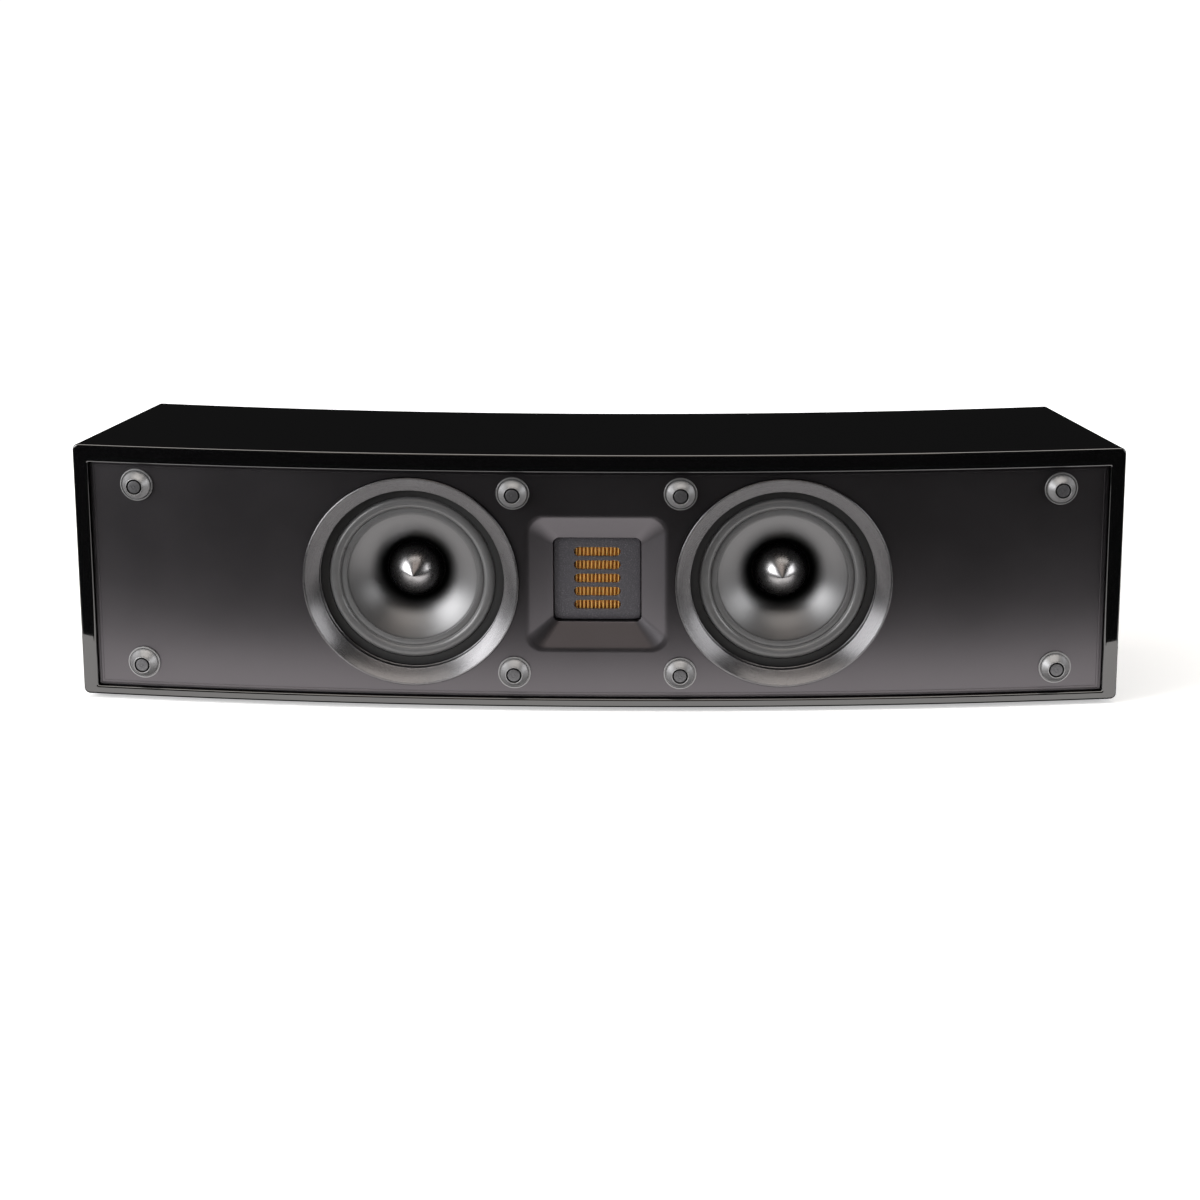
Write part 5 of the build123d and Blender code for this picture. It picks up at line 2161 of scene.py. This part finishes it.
        bore, seat_r = self.stud_r + 0.16, self.insert_r + 0.05
        shelf = start + self.insert_len + 0.05
        edge, dome, lip = 0.5, 1.2, 0.3
        loops = [fluted(edge, start, 1.0), fluted(0.0, start + edge, 1.0), fluted(0.0, end - dome, 1.0)]
        for inset, height in arc((dome, end - dome), dome, 180.0, 90.0, 4)[1:]:
            loops.append(fluted(inset, height, max(0.0, 1.0 - inset)))
        for radius, height in ((bore + lip, end), (bore, end - lip), (bore, shelf), (seat_r, shelf), (seat_r, start)):
            loops.append(fluted(self.nut_r - radius, height, 0.0))
        loops.append(loops[0])
        nut = Bench.skin(f"thumb_nut_{colour}_fluted", loops)
        Bench.weld(nut)
        return self.settle(nut, plastic, f"thumb_{colour}", f"thumb_nut_{colour}", seat, 40.0)


# Studio


@dataclass(frozen=True)
class Softbox:
    """Rectangular lamp that faces a point."""

    name: str
    place: Point
    target: Point
    width: float
    height: float
    radiance: float
    colour: Colour = (1.0, 1.0, 1.0)

    def build(self) -> Piece:
        """Add the lamp; places are in metres.

        Returns:
            The lamp.
        """
        data = bpy.data.lights.new(self.name, "AREA")
        data.shape = "RECTANGLE"
        data.size, data.size_y = self.width, self.height
        data.energy = self.radiance * math.pi * self.width * self.height
        data.color = self.colour
        lamp = bpy.data.objects.new(self.name, data)
        bpy.context.collection.objects.link(lamp)
        look = Vector(self.target) - Vector(self.place)
        lamp.matrix_world = Matrix.Translation(self.place) @ look.to_track_quat("-Z", "Y").to_matrix().to_4x4()
        return lamp


@dataclass
class Studio:
    """Pale floor, soft lamps, reflection cards and the camera."""

    layout: Layout
    focal_mm: float = 104.636
    sensor_mm: float = 36.0
    camera_at: Point = (64.71, -2209.61, 767.68)
    pitch: float = 0.31122
    yaw: float = 0.02915
    roll: float = 0.00389
    near_edge: float = 0.095
    clip_end: float = 200.0
    floor_half: float = 40.0
    floor_grain: float = 300.0
    floor_tones: tuple[Colour, Colour] = ((0.78, 0.78, 0.78), (0.82, 0.82, 0.82))
    floor_fade: tuple[float, float] = (0.25, 0.8)
    floor_glow: float = 0.45
    strip_glow: float = 2.0
    strip_gap: float = 0.005
    strip_end: float = 0.36
    strip_half: float = 1.6
    strip_lift: float = 0.0012
    strip_cuts: int = 63
    dark_lift: float = 0.0008
    under_depth: float = 0.3
    # Grey of the painted shadow card under the speaker.
    painted_shadow_grey: Colour = (0.05, 0.05, 0.05)
    flag_half: float = 3.0
    flag_depth: float = 4.0
    wall_half_w: float = 0.65
    wall_half_h: float = 0.5
    wall_at: Point = (0.0, -1.35, 1.5)
    wall_tilt: float = 42.0
    drape_r: float = 6.0
    black: Colour = (0.012, 0.012, 0.012)

    def build(self) -> None:
        """Set up the whole studio."""
        self.build_camera()
        self.build_world()
        self.build_floor()
        self.build_cards()
        for lamp in self.lamps():
            lamp.build()
        bpy.context.scene.view_settings.view_transform = "Standard"
        log.info("studio is set")

    def lamps(self) -> list[Softbox]:
        """The soft lamps: one on each side and one overhead.

        Returns:
            The lamps.
        """
        return [
            Softbox("left_box", (-1.45, -0.7, 0.65), (-0.1, 0.0, 0.1), 1.2, 1.1, 8.5),
            Softbox("right_box", (1.6, -0.5, 0.55), (0.1, 0.0, 0.1), 0.8, 0.9, 6.0),
            Softbox("top_box", (0.0, -0.35, 1.75), (0.0, 0.0, 0.1), 2.6, 0.8, 4.0, (1.0, 0.95, 0.89)),
        ]

    def build_camera(self) -> None:
        """Camera fitted to the photograph's outline."""
        data = bpy.data.cameras.new("camera")
        data.lens = self.focal_mm
        data.sensor_width = self.sensor_mm
        data.clip_end = self.clip_end
        camera = bpy.data.objects.new("camera", data)
        bpy.context.collection.objects.link(camera)
        turn = Matrix.Rotation(self.yaw, 3, "Z") @ Matrix.Rotation(-self.pitch, 3, "X")
        turn = turn @ Matrix.Rotation(self.roll, 3, "Y") @ Matrix.Rotation(math.pi / 2, 3, "X")
        camera.matrix_world = Matrix.Translation(Vector(self.camera_at) * MM) @ turn.to_4x4()
        bpy.context.scene.camera = camera

    def build_world(self) -> None:
        """Even pale surround: white where it is seen, straight or by reflection or through glass, and dark for rays
        that only light.
        """
        world = bpy.data.worlds.new("surround")
        world.use_nodes = True
        bpy.context.scene.world = world
        tree = Tree(world.node_tree)
        seen = self.seen(tree)
        shader = tree.signal("Background", {}, {"Color": (1.0, 1.0, 1.0, 1.0), "Strength": seen})
        tree.node("OutputWorld", {}, {"Surface": shader})

    @staticmethod
    def seen(tree: Tree) -> Signal:
        """1 for a ray that shows the background, straight or by reflection or through glass."""
        path = tree.node("LightPath", {}, {})
        rays = [Signal(tree, path.outputs[name]) for name in ("Is Camera Ray", "Is Glossy Ray", "Is Transmission Ray")]
        return tree.maths("MAXIMUM", tree.maths("MAXIMUM", rays[0], rays[1]), rays[2])

    def card(self, name: str, left: float, right: float, near: float, far: float, height: float) -> Piece:
        """Flat stage card over the floor, in metres.

        Args:
            name: Its name.
            left: Left side.
            right: Right side.
            near: Side towards the camera.
            far: Side away from it.
            height: Its height.

        Returns:
            The card.
        """
        bpy.ops.object.select_all(action="DESELECT")
        bpy.ops.mesh.primitive_plane_add(size=1.0)
        card = bpy.context.object
        card.name = card.data.name = name
        card.data.transform(Matrix.Diagonal((right - left, far - near, 1.0, 1.0)))
        card.data.transform(Matrix.Translation(((left + right) / 2, (near + far) / 2, height)))
        card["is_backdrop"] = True
        return card

    def build_floor(self) -> None:
        """Pale floor that renders white and still takes the speaker's shadow."""
        half = self.floor_half
        floor = self.card("floor", -half, half, -half, half, 0.0)
        material, tree = blank_material("floor_white")
        cloud = tree.noise(tree.place(Coords.OBJECT), self.floor_grain, 2.0)
        colour = tree.mix(cloud, *self.floor_tones)
        matte = tree.signal("BsdfDiffuse", {}, {"Color": colour})
        away = tree.length(tree.scaled(tree.place(Coords.OBJECT), (0.7, 1.0, 0.0))).over(*self.floor_fade)
        strength = (self.floor_glow + (1.0 - self.floor_glow) * away) * self.seen(tree)
        glow = tree.signal("Emission", {}, {"Color": (1.0, 1.0, 1.0, 1.0), "Strength": strength})
        shader = tree.signal("AddShader", {}, {0: matte, 1: glow})
        tree.node("OutputMaterial", {}, {"Surface": shader})
        floor.data.materials.append(material)

    def build_cards(self) -> None:
        """Cards that only polished surfaces see: a bright strip, a warm wall, dark drapes round the speaker, and a
        dark card under it that is a painted shadow of the floor beneath the speaker.
        """
        front = self.layout.front_y * MM
        strip = self.bowed_strip(front)
        # Painted shadow: a dark card under the speaker stands in for the shaded floor there, as polished lower edges
        # reflect it.
        half, near, far = self.strip_half, front - self.strip_gap, front + self.under_depth
        under = self.card("painted_shadow_under", -half, half, near, far, self.dark_lift)
        half, near, far = self.flag_half, front - self.flag_depth, front - self.near_edge
        flag = self.card("dark_flag", -half, half, near, far, self.dark_lift)
        self.glow(strip, "strip_white", (1.0, 0.97, 0.95), self.strip_glow)
        wall = self.card("front_wall", -self.wall_half_w, self.wall_half_w, -self.wall_half_h, self.wall_half_h, 0.0)
        tilt = Matrix.Rotation(math.radians(self.wall_tilt), 4, "X")
        wall.data.transform(Matrix.Translation(self.wall_at) @ tilt)
        self.glow(wall, "wall_beige", (1.0, 0.87, 0.78), 1.0)
        self.glow(flag, "flag_black", self.black, 1.0)
        self.glow(under, "under_painted_shadow", self.painted_shadow_grey, 1.0)
        bpy.ops.object.select_all(action="DESELECT")
        bpy.ops.mesh.primitive_uv_sphere_add(segments=64, ring_count=32, radius=self.drape_r)
        drape = bpy.context.object
        drape.name = drape.data.name = "dark_drape"
        drape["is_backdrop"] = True
        self.glow(drape, "drape_black", self.black, 1.0)

    def bowed_strip(self, front: float) -> Piece:
        """Strip of floor before the speaker, its far edge along the bowed front.

        Args:
            front: Place of the front's middle.

        Returns:
            The strip.
        """
        near, far = front - self.near_edge, front - self.strip_gap
        strip = self.card("bright_strip", -self.strip_half, self.strip_half, near, far, self.strip_lift)
        bpy.ops.object.mode_set(mode="EDIT")
        bpy.ops.mesh.select_all(action="SELECT")
        bpy.ops.mesh.subdivide(number_cuts=self.strip_cuts)
        bpy.ops.object.mode_set(mode="OBJECT")
        radius = self.layout.front_radius * MM
        for vertex in strip.data.vertices:
            share = (vertex.co.y - front + self.near_edge) / (self.near_edge - self.strip_gap)
            reach = min(abs(vertex.co.x), self.strip_end)
            vertex.co.y += share * sag(radius, reach)
        return strip

    @staticmethod
    def glow(card: Piece, name: str, colour: Colour, strength: float) -> None:
        """Even brightness for a card that only reflections show.

        Args:
            card: The card.
            name: Name of its material.
            colour: Its colour.
            strength: Its brightness.
        """
        material, tree = blank_material(name)
        shader = tree.signal("Emission", {}, {"Color": (*colour, 1.0), "Strength": strength})
        tree.node("OutputMaterial", {}, {"Surface": shader})
        card.data.materials.append(material)
        card.visible_camera = False
        card.visible_diffuse = False
        card.visible_shadow = False
        card.visible_transmission = False


def write_sizes() -> None:
    """Gather the CAD model's box and the visual model's box as plain lists."""
    boxes = {"cad": CAD_BOX, "visual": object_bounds()}
    plain = {name: [[float(part) for part in corner] for corner in box] for name, box in boxes.items()}


def main() -> None:
    """Build the speaker's pieces, dress the CAD nodes that still show, and set up the studio."""
    logging.basicConfig(level=logging.INFO, format="%(name)s: %(message)s")
    layout = Layout()
    palette = Palette()
    cabinet = Cabinet(layout, palette)
    cabinet.build_shell()
    cabinet.build_feet()
    baffle = Baffle(layout, palette)
    baffle.build_plate()
    baffle.build_posts()
    for side in Side:
        woofer = Woofer(layout, palette, side)
        woofer.build_ring()
        woofer.build_gasket()
        woofer.build_surround()
        woofer.build_cone()
        woofer.build_plug()
    tweeter = Tweeter(layout, palette)
    tweeter.build_plate()
    tweeter.build_film()
    back = Back(layout, palette)
    back.build_panel()
    back.build_terminal_plate()
    back.build_screws()
    back.build_post("red", Side.RIGHT)
    back.build_post("black", Side.LEFT)
    palette.dress_frame()
    Studio(layout).build()
    write_sizes()


if __name__ == "__main__":
    main()
